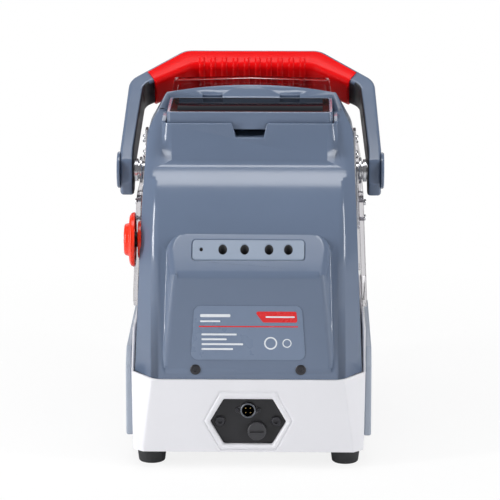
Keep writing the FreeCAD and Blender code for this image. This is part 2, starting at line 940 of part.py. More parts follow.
def cover_block(label, side_drawing, front_drawing, crease, nose_shrink):
    """The cover's main form: the side view pulled across, chamfered at 45 degrees, cut to the front view."""
    wing = s.cover_low_half - s.cover_crease_half + 2 * s.wall
    middle = pulled(label + "_middle", side_drawing, (1, 0, 0), crease, crease)
    wings = []
    for side in (1, -1):
        arm = pulled(f"{label}_wing", side_drawing, (side, -1, 0), wing * math.sqrt(2))
        place(arm, crease * side, 0, 0)
        wings.append(arm)
    across = fuse(label + "_across", middle, *wings)
    through = pulled(label + "_front", front_drawing, (0, 1, 0), s.overall_depth, s.overall_depth)
    nose = rod(
        label + "_nose", "z", (0, back(s.nose_depth) + s.nose_radius),
        (0, s.cover_apex_height + s.wall), s.nose_radius - nose_shrink,
    )
    return common(label + "_block", across, through, nose)


def hump_front(shrink):
    """The hump from behind: leaning sides and rounded top corners."""
    corners = both_sides([
        (s.hump_low_half - shrink, s.parting_height),
        (s.hump_high_half - shrink, s.hump_top - shrink),
    ])
    radius = s.hump_corner_radius - shrink
    return corners, {1: radius, 2: radius}


def hump_block(label, shrink):
    """The hump: sides drawn in towards the rear, cut by the shelf at 45 degrees."""
    body = doc.addObject("PartDesign::Body", label + "_body")
    corners, rounds = hump_front(shrink)
    drawing = outline(body, "xz", corners, rounds, back(s.hump_reach))
    pad = body.newObject("PartDesign::Pad", label + "_pad")
    pad.Profile = drawing
    pad.Reversed = True
    bind(pad, "TaperAngle", -s.hump_draft)
    bind(pad, "Length", s.hump_reach - s.hump_depth - shrink)
    body.Tip = pad
    low = s.parting_height + s.fit_gap
    rear = s.hump_depth + shrink
    knee = s.hump_height - shrink * math.tan(math.pi / 8)
    shelf = prism(
        label + "_shelf", "yz",
        [
            (back(s.hump_reach), low + s.parting_rise),
            (back(s.rim_start_depth), low + s.parting_rise),
            (back(rear), low + s.parting_rise * (rear / s.rim_start_depth)),
            (back(rear), knee),
            (back(s.hump_reach), knee + s.hump_reach - rear),
        ],
        (-s.cover_low_half, s.cover_low_half),
    )
    return common(label, body, shelf)


def hump_outside():
    """The hump with its side edges rounded from the parting line up to the end of the shelf."""
    block = hump_block("hump", size(0))

    def on_the_side(edge):
        ends = [vertex.Point for vertex in edge.Vertexes]
        if len(ends) < 2 or abs(ends[0].z - ends[1].z) < float(s.wall):
            return False
        at_rear = [abs(end.y - float(back(s.hump_depth))) < float(s.bore_gap) for end in ends]
        shelf_level = float(s.hump_height - s.hump_depth + back(0))
        on_shelf = [abs(end.z + end.y - shelf_level) < float(s.bore_gap) for end in ends]
        return all(at_rear) or all(on_shelf)

    return rounded("hump_outside", block, s.hump_edge_radius, on_the_side)


def rack_block(label, proud, floor, margin):
    """The tool rack: upright sides with rounded corners under a face at 45 degrees."""
    half = s.rack_half - margin
    sides = prism(label + "_sides", "yz", rack_profile(proud, floor), (-half, half))
    near = s.rack_start + margin
    far = s.rack_end - margin
    plan = both_sides([(half, back(far)), (half, back(near))])
    rounds = {index: s.rack_corner_radius for index in range(4)}
    column = prism(label + "_plan", "xy", plan, (floor, s.hump_top), rounds)
    return common(label, sides, column)


def rack_profile(proud, floor):
    """The tool rack from the side: upright sides under a face at 45 degrees."""
    def face(depth):
        return s.hump_height + depth - s.hump_depth + proud
    return [
        (back(s.rack_start), floor),
        (back(s.rack_start), face(s.rack_start)),
        (back(s.rack_end), face(s.rack_end)),
        (back(s.rack_end), floor),
    ]


def hinge_notches(label, grow):
    """The pockets for the screen's two hinges in front of the screen's recess."""
    half = s.screen_hinge_half + s.screen_ear_width + 2 * s.fit_gap
    return [
        box(
            label,
            (s.screen_hinge_place * side - half - grow, s.screen_hinge_place * side + half + grow),
            depths(s.recess_end_depth - s.wall, s.recess_end_depth + s.screen_ear_reach + grow),
            (s.recess_floor - grow, s.cover_apex_height + s.wall),
        )
        for side in (1, -1)
    ]


def screen_recess(label, grow):
    """The space that the screen lies in."""
    return box(
        label,
        (-s.recess_half - grow, s.recess_half + grow),
        depths(s.recess_start_depth - grow, s.recess_end_depth + grow),
        (s.recess_floor - grow, s.cover_apex_height + s.wall),
    )


def finger_notch(label, grow):
    """The notch under the screen's rear edge."""
    start = s.dock_depth - s.wall
    over = s.dock_height + s.wall
    corners = both_sides([(s.notch_low_half + grow, s.notch_floor - grow), (s.notch_top_half + grow, over)])
    return prism(label, "xz", corners, depths(start, s.notch_end_depth + grow))


def dock_block(label, shrink, low, high):
    half = s.dock_half - shrink
    corners = both_sides([(half, back(s.dock_end_depth)), (half, back(s.dock_depth + shrink))])
    radius = s.dock_corner_radius - shrink
    return prism(label, "xy", corners, (low, high), {1: radius, 2: radius})


def pads(label, low_half, high_half):
    """The flats for the hinge brackets on both sides of the head."""
    across = depths(s.pivot_depth - s.pad_half_width, s.pivot_depth + s.pad_half_width)
    left = box(label, (low_half, high_half), across, (s.pad_low, s.pad_high))
    return [left, mirrored(label + "_mirror", left)]


def rear_cover():
    profile_body = doc.addObject("PartDesign::Body", "cover_profile")
    corners, rounds = cover_profile()
    side_drawing = outline(profile_body, "yz", corners, rounds)
    front_body = doc.addObject("PartDesign::Body", "cover_front")
    corners, rounds = cover_front()
    front_drawing = outline(front_body, "xz", corners, rounds)

    outside = fuse(
        "cover_outside",
        cover_block("cover", side_drawing, front_drawing, s.cover_crease_half, size(0)),
        hump_outside(),
        dock_block("dock", size(0), s.dock_bottom, s.dock_height),
    )
    side_inset = inset("cover_profile_inside", side_drawing, s.wall)
    front_inset = inset("cover_front_inside", front_drawing, s.wall)
    inner_crease = s.cover_crease_half - s.wall * (math.sqrt(2) - 1)
    cavity = fuse(
        "cover_cavity",
        cover_block("cavity", side_inset, front_inset, inner_crease, s.wall),
        hump_block("hump_cavity", s.wall),
        dock_block("dock_cavity", s.wall, s.dock_bottom, s.recess_floor - s.wall),
    )
    rack_keep = prism("rack_keep", "yz", rack_profile(size(0), s.rack_floor),
                      (-s.rack_half - s.wall, s.rack_half + s.wall))
    space = cut(
        "cover_space", cavity,
        screen_recess("recess_keep", s.wall), *hinge_notches("notch_keep", s.wall),
        finger_notch("finger_keep", s.wall), *pads("pad_keep", s.pin_start_half, s.cover_low_half),
        rack_keep,
    )
    side_lip = s.cover_shoulder_half - 2 * s.wall
    low = s.parting_height
    open_bottom = box("open_bottom", (-side_lip, side_lip),
                      depths(2 * s.wall, s.column_face_depth - s.wall), (low - s.wall, low + 3 * s.wall))
    open_front = box("open_front", (-side_lip, side_lip),
                     depths(s.column_face_depth - 2 * s.wall, s.column_face_depth + s.wall),
                     (low - s.wall, s.overhang_height + s.wall))
    open_under = box("open_under", (-side_lip, side_lip),
                     depths(s.column_face_depth - 2 * s.wall, s.nose_depth - s.wall - s.overhang_lip),
                     (s.overhang_height - s.wall, s.overhang_height + 2 * s.wall))
    rack_slot = rack_block("rack_slot", s.wall, s.rack_floor, size(0))
    hole_start = s.pin_start_half - s.wall
    hole_spans = ((hole_start, s.cover_low_half), (-s.cover_low_half, -hole_start))
    pin_holes = [
        rod("pin_hole", "x", (back(s.pivot_depth), s.pivot_height), span, s.pin_radius + s.bore_gap)
        for span in hole_spans
    ]
    bracket_holes = [
        rod("bracket_hole", "x", (back(s.pivot_depth), height), span, s.screw_shank_radius + s.bore_gap)
        for height in (s.bracket_screw_low, s.bracket_screw_high)
        for span in hole_spans
    ]
    estop_seat = rod("estop_seat", "x", (back(s.estop_depth), s.estop_height),
                     (s.estop_seat, s.cover_low_half), s.estop_flange_radius + s.fit_gap)
    estop_hole = rod("estop_hole", "x", (back(s.estop_depth), s.estop_height),
                     (s.estop_barrel_end, s.cover_low_half), s.estop_barrel_radius + s.bore_gap)
    screw_holes = [
        rod("cover_screw_hole", "y", (s.cover_screw_half * side, s.cover_screw_height),
            depths(-s.wall, 4 * s.wall), s.screw_shank_radius + s.bore_gap)
        for side in (1, -1)
    ]
    parting = s.parting_height + s.fit_gap
    under = prism(
        "under_parting", "yz",
        [
            (back(-s.wall), low - s.wall),
            (back(-s.wall), parting),
            (back(0), parting),
            (back(s.rim_start_depth), parting + s.parting_rise),
            (back(s.rim_start_depth), low - s.wall),
        ],
        (-s.base_high_half, s.base_high_half),
    )
    relief_start = s.recess_end_depth - s.fit_gap
    relief_low = s.screen_pin_height + s.relief_above_pin
    relief_high = relief_low + s.relief_rise
    screen_relief = prism(
        "screen_relief", "yz",
        [
            (back(relief_start), relief_low),
            (back(relief_start + s.relief_run), relief_high),
            (back(relief_start), relief_high),
        ],
        (-s.recess_half, s.recess_half),
    )
    node("rear_cover", cut(
        "rear_cover", outside, space, under, screen_relief, open_bottom, open_front, open_under,
        screen_recess("recess", size(0)), *hinge_notches("notch", size(0)),
        finger_notch("finger", size(0)), *pads("pad", s.pad_half, s.cover_low_half), rack_slot,
        *pin_holes, *bracket_holes, estop_seat, estop_hole, *screw_holes,
    ))


# Pieces on the rear cover

def tool_rack():
    block = rack_block("rack_block", s.rack_proud, s.rack_floor, s.fit_gap)
    top = s.hump_height + s.rack_end
    places = (s.tool_place_four, s.tool_place_three, s.tool_place_two, s.tool_place_one)
    holes = []
    floor = s.tool_hole_floor
    for x in places:
        holes.append(rod("tool_hole", "z", (x, back(s.tool_hole_depth)), (floor, top), s.tool_hole_radius))
        floor = floor + s.tool_hole_step
    holes.append(rod("small_tool_hole", "z", (s.small_hole_place, back(s.tool_hole_depth)),
                     (floor, top), s.small_hole_radius))
    node("tool_rack", cut("tool_rack", block, *holes))


def rating_plate():
    corners = both_sides([(s.rating_low_half, s.rating_low), (s.rating_top_half, s.rating_top)])
    rounds = {index: s.rating_corner_radius for index in range(4)}
    span = depths(s.hump_depth - s.rating_thickness, s.hump_depth)
    node("rating_plate", prism("rating_plate", "xz", corners, span, rounds))


def pan_screw(label, axis, spot, head_radius, head_height, shank_length):
    """A pan head screw; spot is where its head seats, and the head stands along the axis."""
    profile = [
        (0, -shank_length),
        (s.screw_shank_radius, -shank_length),
        (s.screw_shank_radius, 0),
        (head_radius, 0),
        (head_radius, head_height),
        (0, head_height),
    ]
    return turned(label, axis, spot, profile, {4: head_height / 2})


def case_screws():
    screws = []
    flange_face = back(s.bezel_depth - s.socket_flange_thickness)
    socket_screw = [
        (0, 0),
        (s.socket_screw_radius, 0),
        (s.socket_screw_radius, s.socket_screw_head),
        (0, s.socket_screw_head),
    ]
    for side in (1, -1):
        screws.append(pan_screw("cover_screw", "y",
                                (s.cover_screw_half * side, back(s.hump_depth), s.cover_screw_height),
                                s.cover_screw_radius, s.cover_screw_head, 3 * s.wall))
        screws.append(pan_screw("panel_screw", "y",
                                (s.panel_screw_half * side, back(s.bezel_depth), s.panel_height),
                                s.panel_screw_radius, s.panel_thickness, 2 * s.wall))
        screws.append(turned("socket_screw", "y",
                             (s.socket_screw_half * side, flange_face, s.socket_height), socket_screw))
        for height in (s.bracket_screw_low, s.bracket_screw_high):
            screw = pan_screw("bracket_screw", "x",
                              (s.pad_half + s.bracket_thickness, back(s.pivot_depth), height),
                              s.bracket_screw_radius, s.bracket_thickness, 2 * s.wall)
            screws.append(screw if side > 0 else mirrored("bracket_screw_mirror", screw))
    node("case_screws", group("case_screws", screws))


# Power panel

def power_panel():
    seat = depths(s.bezel_depth, s.bezel_depth + s.panel_thickness)
    plate = prism("power_plate", "xz", panel_hexagon(size(0)), seat)
    ways = [
        rod("plate_socket_way", "y", (0, s.socket_height), seat, s.socket_ring_radius + s.fit_gap),
        rod("plate_fuse_way", "y", (-s.fuse_offset, s.fuse_height), seat, s.fuse_barrel_radius + s.fit_gap),
    ]
    ways += [
        rod("plate_screw_way", "y", (s.panel_screw_half * side, s.panel_height), seat,
            s.screw_shank_radius + s.bore_gap)
        for side in (1, -1)
    ]
    node("power_panel", cut("power_panel", plate, *ways))


def power_socket():
    face = s.bezel_depth - s.socket_flange_thickness
    diamond = [
        (s.socket_flange_half, s.socket_height),
        (0, s.socket_height + s.socket_flange_rise),
        (-s.socket_flange_half, s.socket_height),
        (0, s.socket_height - s.socket_flange_rise),
    ]
    small, large = s.socket_flange_round, s.socket_ring_radius
    rounds = {0: small, 1: large, 2: small, 3: large}
    flange = prism("socket_flange", "xz", diamond, depths(face, s.bezel_depth), rounds)
    end_depth = s.bezel_boss_depth + s.wall
    ring = rod("socket_ring", "y", (0, s.socket_height), depths(face - s.socket_ring_proud, end_depth),
               s.socket_ring_radius)
    bore = rod("socket_bore", "y", (0, s.socket_height), depths(0, end_depth), s.socket_core_radius)
    node("power_socket", cut("power_socket", fuse("socket_body", flange, ring), bore))
    core = rod("socket_core", "y", (0, s.socket_height), depths(s.bezel_depth, end_depth),
               s.socket_core_radius)
    contacts = [
        rod("socket_contact", "y", (s.contact_place * across, s.socket_height + s.contact_place * upward),
            depths(s.bezel_depth - s.contact_proud, s.bezel_depth + s.wall), s.contact_radius)
        for across in (1, -1)
        for upward in (1, -1)
    ]
    node("socket_insert", fuse("socket_insert", core, *contacts))


def fuse_parts():
    x = -s.fuse_offset
    end_depth = s.bezel_boss_depth + 4 * s.wall
    barrel = rod("fuse_barrel", "y", (x, s.fuse_height), depths(s.bezel_depth, end_depth),
                 s.fuse_barrel_radius)
    stem_end = s.bezel_boss_depth + 2 * s.wall
    bore = rod("fuse_bore", "y", (x, s.fuse_height), depths(s.bezel_depth - s.wall, stem_end),
               s.fuse_stem_radius + s.bore_gap)
    node("fuse_holder", cut("fuse_holder", barrel, bore))
    face = s.fuse_cap_depth
    back_face = s.bezel_depth - s.fit_gap
    profile = [
        (0, s.fit_gap - stem_end),
        (s.fuse_stem_radius, s.fit_gap - stem_end),
        (s.fuse_stem_radius, -back_face),
        (s.fuse_cap_radius, -back_face),
        (s.fuse_cap_radius, -face),
        (0, -face),
    ]
    cap = turned("fuse_cap_blank", "y", (x, back(0), s.fuse_height), profile, {4: s.fuse_cap_round})
    slot = box("fuse_slot", (x - s.fuse_slot_half, x + s.fuse_slot_half),
               depths(0, face + s.fuse_slot_depth),
               (s.fuse_height - s.fuse_slot_half_width, s.fuse_height + s.fuse_slot_half_width))
    node("fuse_cap", cut("fuse_cap", cap, slot))


# Emergency stop

def emergency_stop():
    centre = (back(s.estop_depth), s.estop_height)
    spot = (0, *centre)
    collar = turned("estop_ring", "x", spot, [
        (s.estop_stem_radius + s.bore_gap, s.estop_barrel_end),
        (s.estop_barrel_radius, s.estop_barrel_end),
        (s.estop_barrel_radius, s.estop_seat),
        (s.estop_flange_radius, s.estop_seat),
        (s.estop_flange_radius, s.estop_flange_top),
        (s.estop_stem_radius + s.bore_gap, s.estop_flange_top),
    ], {4: s.estop_edge})
    nut_end = s.cover_shoulder_half - 2 * s.wall
    nut = cut(
        "estop_nut",
        rod("estop_nut_blank", "x", centre, (nut_end - s.estop_nut_width, nut_end), s.estop_nut_radius),
        rod("estop_nut_bore", "x", centre, (nut_end - s.estop_nut_width, nut_end), s.estop_barrel_radius),
    )
    node("estop_collar", group("estop_collar", [collar, nut]))
    stem_top = s.estop_rim_top
    stem_start = s.estop_barrel_end - s.wall
    node("estop_plunger", rod("estop_plunger", "x", centre, (stem_start, stem_top), s.estop_stem_radius))
    bore = s.estop_stem_radius + s.bore_gap
    node("estop_head", turned("estop_head", "x", spot, [
        (bore, s.estop_head_low),
        (s.estop_rim_radius - s.estop_edge, s.estop_head_low),
        (s.estop_rim_radius, s.estop_rim_top - s.estop_edge),
        (s.estop_rim_radius - s.estop_rim_bevel, s.estop_dish_top),
        (s.estop_dome_radius, s.estop_dish_top),
        (s.estop_dome_radius - s.estop_edge, s.estop_dome_top),
        (0, s.estop_dome_top),
        (0, stem_top + s.bore_gap),
        (bore, stem_top + s.bore_gap),
    ], {2: s.estop_edge, 3: s.estop_edge, 4: s.estop_edge, 5: s.estop_dome_round}))


# Screen

def screen():
    half = s.recess_half - s.screen_margin
    near = s.recess_start_depth + s.screen_margin
    far = s.recess_end_depth - s.screen_margin
    low = s.recess_floor + s.fit_gap
    corners = both_sides([(half, back(far)), (half, back(near))])
    rounds = {index: s.screen_corner_radius for index in range(4)}
    frame = prism("screen_block", "xy", corners, (low, s.screen_top), rounds)
    glass_half = half - s.glass_margin
    glass_corners = both_sides([
        (glass_half, back(far - s.glass_margin)),
        (glass_half, back(near + s.glass_margin)),
    ])
    glass_rounds = {index: s.glass_corner_radius for index in range(4)}
    seat = s.screen_top - s.glass_thickness
    glass = prism("screen_glass", "xy", glass_corners, (seat, s.screen_top), glass_rounds)
    pocket = prism("glass_pocket", "xy", glass_corners, (seat, s.screen_top + s.wall), glass_rounds)
    pin_y = back(s.recess_end_depth + s.screen_pin_ahead)
    ear_inner = s.screen_hinge_half + s.fit_gap
    ear_outer = ear_inner + s.screen_ear_width
    ears, bores, hinges = [], [], []
    for side in (1, -1):
        middle = s.screen_hinge_place * side
        for first, last in ((ear_inner, ear_outer), (-ear_outer, -ear_inner)):
            span = (middle + first, middle + last)
            tip = depths(far - s.wall, s.recess_end_depth + s.screen_pin_ahead)
            ears.append(box("screen_ear", span, tip, (s.screen_pin_height - s.screen_ear_radius,
                                                      s.screen_pin_height + s.screen_ear_radius)))
            ears.append(rod("screen_ear_tip", "x", (pin_y, s.screen_pin_height), span, s.screen_ear_radius))
            bores.append(rod("screen_ear_bore", "x", (pin_y, s.screen_pin_height), span,
                             s.screen_pin_radius + s.bore_gap))
        block_span = (middle - s.screen_hinge_half, middle + s.screen_hinge_half)
        foot = box("screen_hinge_foot", block_span,
                   (pin_y - s.screen_hinge_half_depth, pin_y + s.screen_hinge_half_depth),
                   (s.recess_floor, s.screen_pin_height))
        barrel = rod("screen_hinge_barrel", "x", (pin_y, s.screen_pin_height), block_span,
                     s.screen_ear_radius)
        pin = rod("screen_hinge_pin", "x", (pin_y, s.screen_pin_height),
                  (middle - ear_outer, middle + ear_outer), s.screen_pin_radius)
        hinges.append(fuse("screen_hinge", foot, barrel, pin))
    body = fuse("screen_body", frame, *ears)
    node("screen_frame", cut("screen_frame", body, pocket, *bores))
    node("screen_glass", glass)
    node("screen_hinges", group("screen_hinges", hinges))


# Hinges of the clear cover

def hinges():
    pivot = (back(s.pivot_depth), s.pivot_height)
    bracket_face = s.pad_half + s.bracket_thickness
    arm_face = bracket_face + s.fit_gap
    plate = box("bracket_plate", (s.pad_half, bracket_face),
                depths(s.pivot_depth - s.bracket_half_width, s.pivot_depth + s.bracket_half_width),
                (s.bracket_low, s.bracket_high))
    holes = [rod("bracket_pin_way", "x", pivot, (s.pad_half, bracket_face), s.pin_radius + s.bore_gap)]
    holes += [
        rod("bracket_screw_way", "x", (pivot[0], height), (s.pad_half, bracket_face),
            s.screw_shank_radius + s.bore_gap)
        for height in (s.bracket_screw_low, s.bracket_screw_high)
    ]
    bracket = cut("hinge_bracket", plate, *holes)
    node("hinge_brackets", group("hinge_brackets", [bracket, mirrored("hinge_bracket_mirror", bracket)]))
    shoulder_end = s.lug_inner_half - s.fit_gap
    arm_outer = s.hood_waist_half - s.hood_wall + s.fit_gap
    pin = fuse(
        "pivot_pin",
        rod("pin_body", "x", pivot, (s.pin_start_half, s.lug_outer_half - s.fit_gap), s.pin_radius),
        rod("pin_shoulder", "x", pivot, (arm_outer + s.fit_gap, shoulder_end), s.pin_shoulder_radius),
    )
    node("pivot_pins", group("pivot_pins", [pin, mirrored("pivot_pin_mirror", pin)]))
    return arm_face, arm_outer


def hinge_arms(arm_face, arm_outer, hood):
    pivot = (back(s.pivot_depth), s.pivot_height)
    across = depths(s.pivot_depth - s.arm_half_width, s.pivot_depth + s.arm_half_width)
    upper = box("arm_upper", (arm_face, arm_outer), across, (s.hood_sill - s.wall, s.pivot_height))
    lower = box("arm_lower", (arm_face, s.hood_waist_half), across, (s.arm_low, s.hood_sill))
    eye = rod("arm_eye", "x", pivot, (arm_face, arm_outer), s.arm_half_width)
    ways = [rod("arm_bore", "x", pivot, (arm_face, arm_outer), s.pin_radius + s.bore_gap)]
    ways += [
        rod("arm_screw_way", "x", (pivot[0], height), (arm_face, s.hood_waist_half),
            s.screw_shank_radius + s.bore_gap)
        for height in (s.arm_screw_low, s.arm_screw_high)
    ]
    arm = cut("hinge_arm", fuse("arm_blank", upper, lower, eye), hood, *ways)
    node("hinge_arms", group("hinge_arms", [arm, mirrored("hinge_arm_mirror", arm)]))
    screws = []
    for height in (s.arm_screw_low, s.arm_screw_high):
        slope = (s.hood_low_half - s.hood_waist_half) / (s.hood_waist - s.hood_low)
        face = s.hood_waist_half + slope * (s.hood_waist - height) + s.fit_gap / 2
        screw = pan_screw("arm_screw", "x", (face, pivot[0], height), s.arm_screw_radius,
                          s.arm_screw_head, face - arm_face)
        screws += [screw, mirrored("arm_screw_mirror", screw)]
    node("arm_screws", group("arm_screws", screws))


# Clear cover

def hood_front():
    """The clear cover from the front: flaring sides, sloping shoulders, slight crown."""
    corners = [
        (s.hood_low_half, s.hood_low),
        (s.hood_waist_half, s.hood_waist),
        (s.hood_neck_half, s.hood_neck),
        (s.hood_shoulder_half, s.hood_shoulder),
        (s.hood_temple_half, s.hood_temple),
        (s.hood_top_half, s.hood_top_corner),
    ]
    left = [(-u, v) for u, v in reversed(corners)]
    radii = {3: s.hood_corner_radius, 9: s.hood_corner_radius}
    return corners + [(size(0), s.hood_top)] + left, radii


def hood_side():
    """The clear cover from the side: upright front, sloping brow, top lip over the head's front edge."""
    corners = [
        (back(s.hood_front_depth), s.hood_low),
        (back(s.hood_rear_depth), s.hood_low),
        (back(s.hood_rear_depth), s.hood_sill),
        (back(s.hood_sill_depth), s.hood_sill),
        (back(s.hood_neck_depth), s.hood_neck),
        (back(s.hood_cheek_depth), s.hood_cheek_height),
        (back(s.hood_back_depth), s.hood_top_corner),
        (back(s.hood_back_depth), s.hood_top),
        (back(s.hood_lip_depth), s.hood_top),
        (back(s.hood_brow_depth), s.hood_brow),
        (back(s.hood_front_depth), s.hood_knee),
    ]
    radii = {1: s.hood_corner_radius, 2: s.hood_corner_radius / 2, 9: s.hood_bend_radius,
             10: s.hood_bend_radius}
    return corners, radii


def hood_inner_side():
    """The space under the clear cover from the side, open below and behind."""
    wall = s.hood_wall
    spill = s.wall
    behind = back(s.hood_rear_depth - spill)
    slope = (s.hood_front_depth - s.hood_brow_depth) / (s.hood_brow - s.hood_knee)
    corners = [
        (back(s.hood_front_depth - wall), s.hood_low - spill),
        (behind, s.hood_low - spill),
        (behind, s.hood_top - wall),
        (back(s.hood_lip_depth - wall / 3), s.hood_top - wall),
        (back(s.hood_brow_depth - wall), s.hood_brow - slope * wall / 2),
        (back(s.hood_front_depth - wall), s.hood_knee - slope * wall / 2),
    ]
    return corners, {4: s.hood_bend_radius - wall, 5: s.hood_bend_radius - wall}


def clear_cover():
    front_body = doc.addObject("PartDesign::Body", "hood_front")
    corners, rounds = hood_front()
    front_drawing = outline(front_body, "xz", corners, rounds)
    across = pulled("hood_across", front_drawing, (0, 1, 0), s.overall_depth, s.overall_depth)
    corners, rounds = hood_side()
    profile = prism("hood_profile", "yz", corners, (-s.hood_low_half, s.hood_low_half), rounds)
    inner_drawing = inset("hood_front_inside", front_drawing, s.hood_wall)
    inner_across = pulled("hood_inner_across", inner_drawing, (0, 1, 0), s.overall_depth, s.overall_depth)
    corners, rounds = hood_inner_side()
    inner_profile = prism("hood_inner_profile", "yz", corners, (-s.hood_low_half, s.hood_low_half), rounds)
    low_half = s.hood_low_half - s.hood_wall
    under = box("hood_under", (-low_half, low_half),
                depths(s.hood_rear_depth - s.wall, s.hood_front_depth - s.hood_wall),
                (s.hood_low - s.wall, s.hood_low + s.hood_wall + s.wall))
    shell = cut("hood_shell", common("hood_outside", across, profile),
                common("hood_inside", inner_across, inner_profile), under)
    ways = []
    for height in (s.arm_screw_low, s.arm_screw_high):
        for span in ((s.pad_half, s.hood_low_half + s.wall), (-s.hood_low_half - s.wall, -s.pad_half)):
            ways.append(rod("hood_screw_way", "x", (back(s.pivot_depth), height), span,
                            s.screw_shank_radius + s.bore_gap))
    hood = node("clear_cover", cut("clear_cover", shell, *ways))
    front = s.hood_front_depth
    bar = prism(
        "cover_grip", "yz",
        [
            (back(front), s.grip_low),
            (back(front), s.grip_high),
            (back(s.overall_depth), s.grip_high),
            (back(s.overall_depth - s.grip_slant), s.grip_low),
        ],
        (-s.grip_half, s.grip_half),
    )
    node("cover_grip", bar)
    return hood


# Carrying handle

def handle_outline(outer_shift, inner_shift):
    """The corners of the handle's bar and sloping shoulders, outside and inside, from the pivot line."""
    slope = (s.handle_reach - s.handle_shoulder_reach) / (s.handle_shoulder_half - s.handle_flat_half)
    corner_shift = math.tan(math.pi / 10)
    reach = s.handle_reach - outer_shift
    flat = s.handle_flat_half - outer_shift * corner_shift
    shoulder = s.handle_shoulder_half - outer_shift
    outer = [(flat, reach), (shoulder, reach - slope * (shoulder - flat))]
    inner_reach = s.handle_reach - s.handle_bar - inner_shift
    inner_flat = s.handle_inner_flat_half - inner_shift * corner_shift
    inner_shoulder = s.handle_shoulder_half - s.handle_arm - inner_shift
    inner_slope = slope * s.handle_taper
    inner_drop = inner_slope * (inner_shoulder - inner_flat)
    inner = [(inner_flat, inner_reach), (inner_shoulder, inner_reach - inner_drop)]
    return outer, inner


def between(corners, half):
    """The point at a half width on the line through two corners."""
    (near, near_reach), (far, far_reach) = corners
    return half, near_reach + (far_reach - near_reach) * ((half - near) / (far - near))


def leaning(piece):
    """Lean a piece that was drawn upright from the pivot line forward over the machine."""
    piece.Placement = Placement(Vector(), Rotation(Vector(1, 0, 0), float(s.handle_lean)))
    bind(piece, "Placement.Rotation.Angle", s.handle_lean)
    place(piece, 0, back(s.pivot_depth), s.pivot_height)
    return piece


def lug_blocks():
    """The foot of one arm around its pivot, and the room behind the foot's upright rear face."""
    y = back(s.pivot_depth)
    z = s.pivot_height
    corners = [
        (y + s.lug_rear, z + s.lug_tail),
        (y + s.lug_rear, z - s.lug_chin),
        (y + s.lug_toe, z - s.lug_drop),
        (y - s.lug_heel, z - s.lug_drop),
        (y - s.lug_front, z - s.lug_cheek),
        (y - s.lug_front, z - s.lug_brow),
        (y - s.lug_heel, z + s.lug_tail),
    ]
    span = (s.lug_inner_half, s.lug_outer_half)
    rounds = {1: s.lug_chin_round, 2: s.lug_chin_round, 3: s.lug_heel_round, 4: s.lug_heel_round}
    foot = prism("lug", "yz", corners, span, rounds)
    room = box("lug_rear_room", span, (y + s.lug_rear, y + s.lug_rear + s.lug_tail),
               (z - s.lug_tail, z + s.handle_half_width))
    return foot, room


def handle():
    outer, inner = handle_outline(size(0), size(0))
    half_outline = [
        (s.lug_inner_half, -s.lug_tail),
        (s.lug_outer_half, -s.lug_tail),
        (s.lug_outer_half, s.lug_arm_reach),
        outer[1],
        outer[0],
    ]
    inside = [inner[0], inner[1], (s.lug_inner_half, s.lug_arm_reach)]
    right = half_outline
    left = [(-u, v) for u, v in reversed(half_outline)]
    left_inside = [(-u, v) for u, v in reversed(inside)]
    corners = right + left + left_inside + inside
    bend = s.handle_bend_radius
    tight = s.handle_inner_radius
    rounds = {3: bend, 4: bend, 5: bend, 6: bend, 11: tight, 12: bend, 13: bend, 14: tight}
    bow = leaning(prism("handle_bow", "xz", corners, (-s.handle_half_width, s.handle_half_width), rounds))
    lug, lug_rear = lug_blocks()
    pivot = (back(s.pivot_depth), s.pivot_height)
    bore = rod("lug_bore", "x", pivot, (s.lug_inner_half, s.lug_outer_half), s.pin_radius + s.bore_gap)
    frame = fuse("handle_blank", bow, lug, mirrored("lug_mirror", lug))
    frame = cut("handle_frame", frame, bore, mirrored("lug_bore_mirror", bore),
                lug_rear, mirrored("lug_rear_mirror", lug_rear))
    node("handle_frame", frame)
    cap = rod("pivot_cap", "x", pivot, (s.lug_outer_half, s.lug_outer_half + s.cap_thickness), s.cap_radius)
    node("pivot_caps", group("pivot_caps", [cap, mirrored("pivot_cap_mirror", cap)]))
    outer, inner = handle_outline(s.grip_rim, s.grip_inside)
    half_outline = [between(inner, s.grip_end_inner_half), between(outer, s.grip_end_half), outer[0]]
    corners = half_outline + [(-u, v) for u, v in reversed(half_outline)]
    corners += [(-inner[0][0], inner[0][1]), inner[0]]
    reach = s.handle_half_width + s.grip_proud
    sleeve = prism("grip_sleeve", "xz", corners, (-reach, reach), {2: bend, 3: bend, 6: bend, 7: bend})
    ribs = []
    rib_reach = inner[0][1] + s.grip_rib_radius - s.grip_rib_proud
    first = -(SIZES["grip_rib_count"] - 1) / 2
    for number in range(SIZES["grip_rib_count"]):
        x = s.grip_rib_pitch * (first + number)
        ribs.append(rod("grip_rib", "y", (x, rib_reach), (-s.grip_rib_half_length, s.grip_rib_half_length),
                        s.grip_rib_radius))
    sleeve = leaning(fuse("grip_ribbed", sleeve, *ribs))
    node("handle_grip", cut("handle_grip", sleeve, frame))


# Frame inside

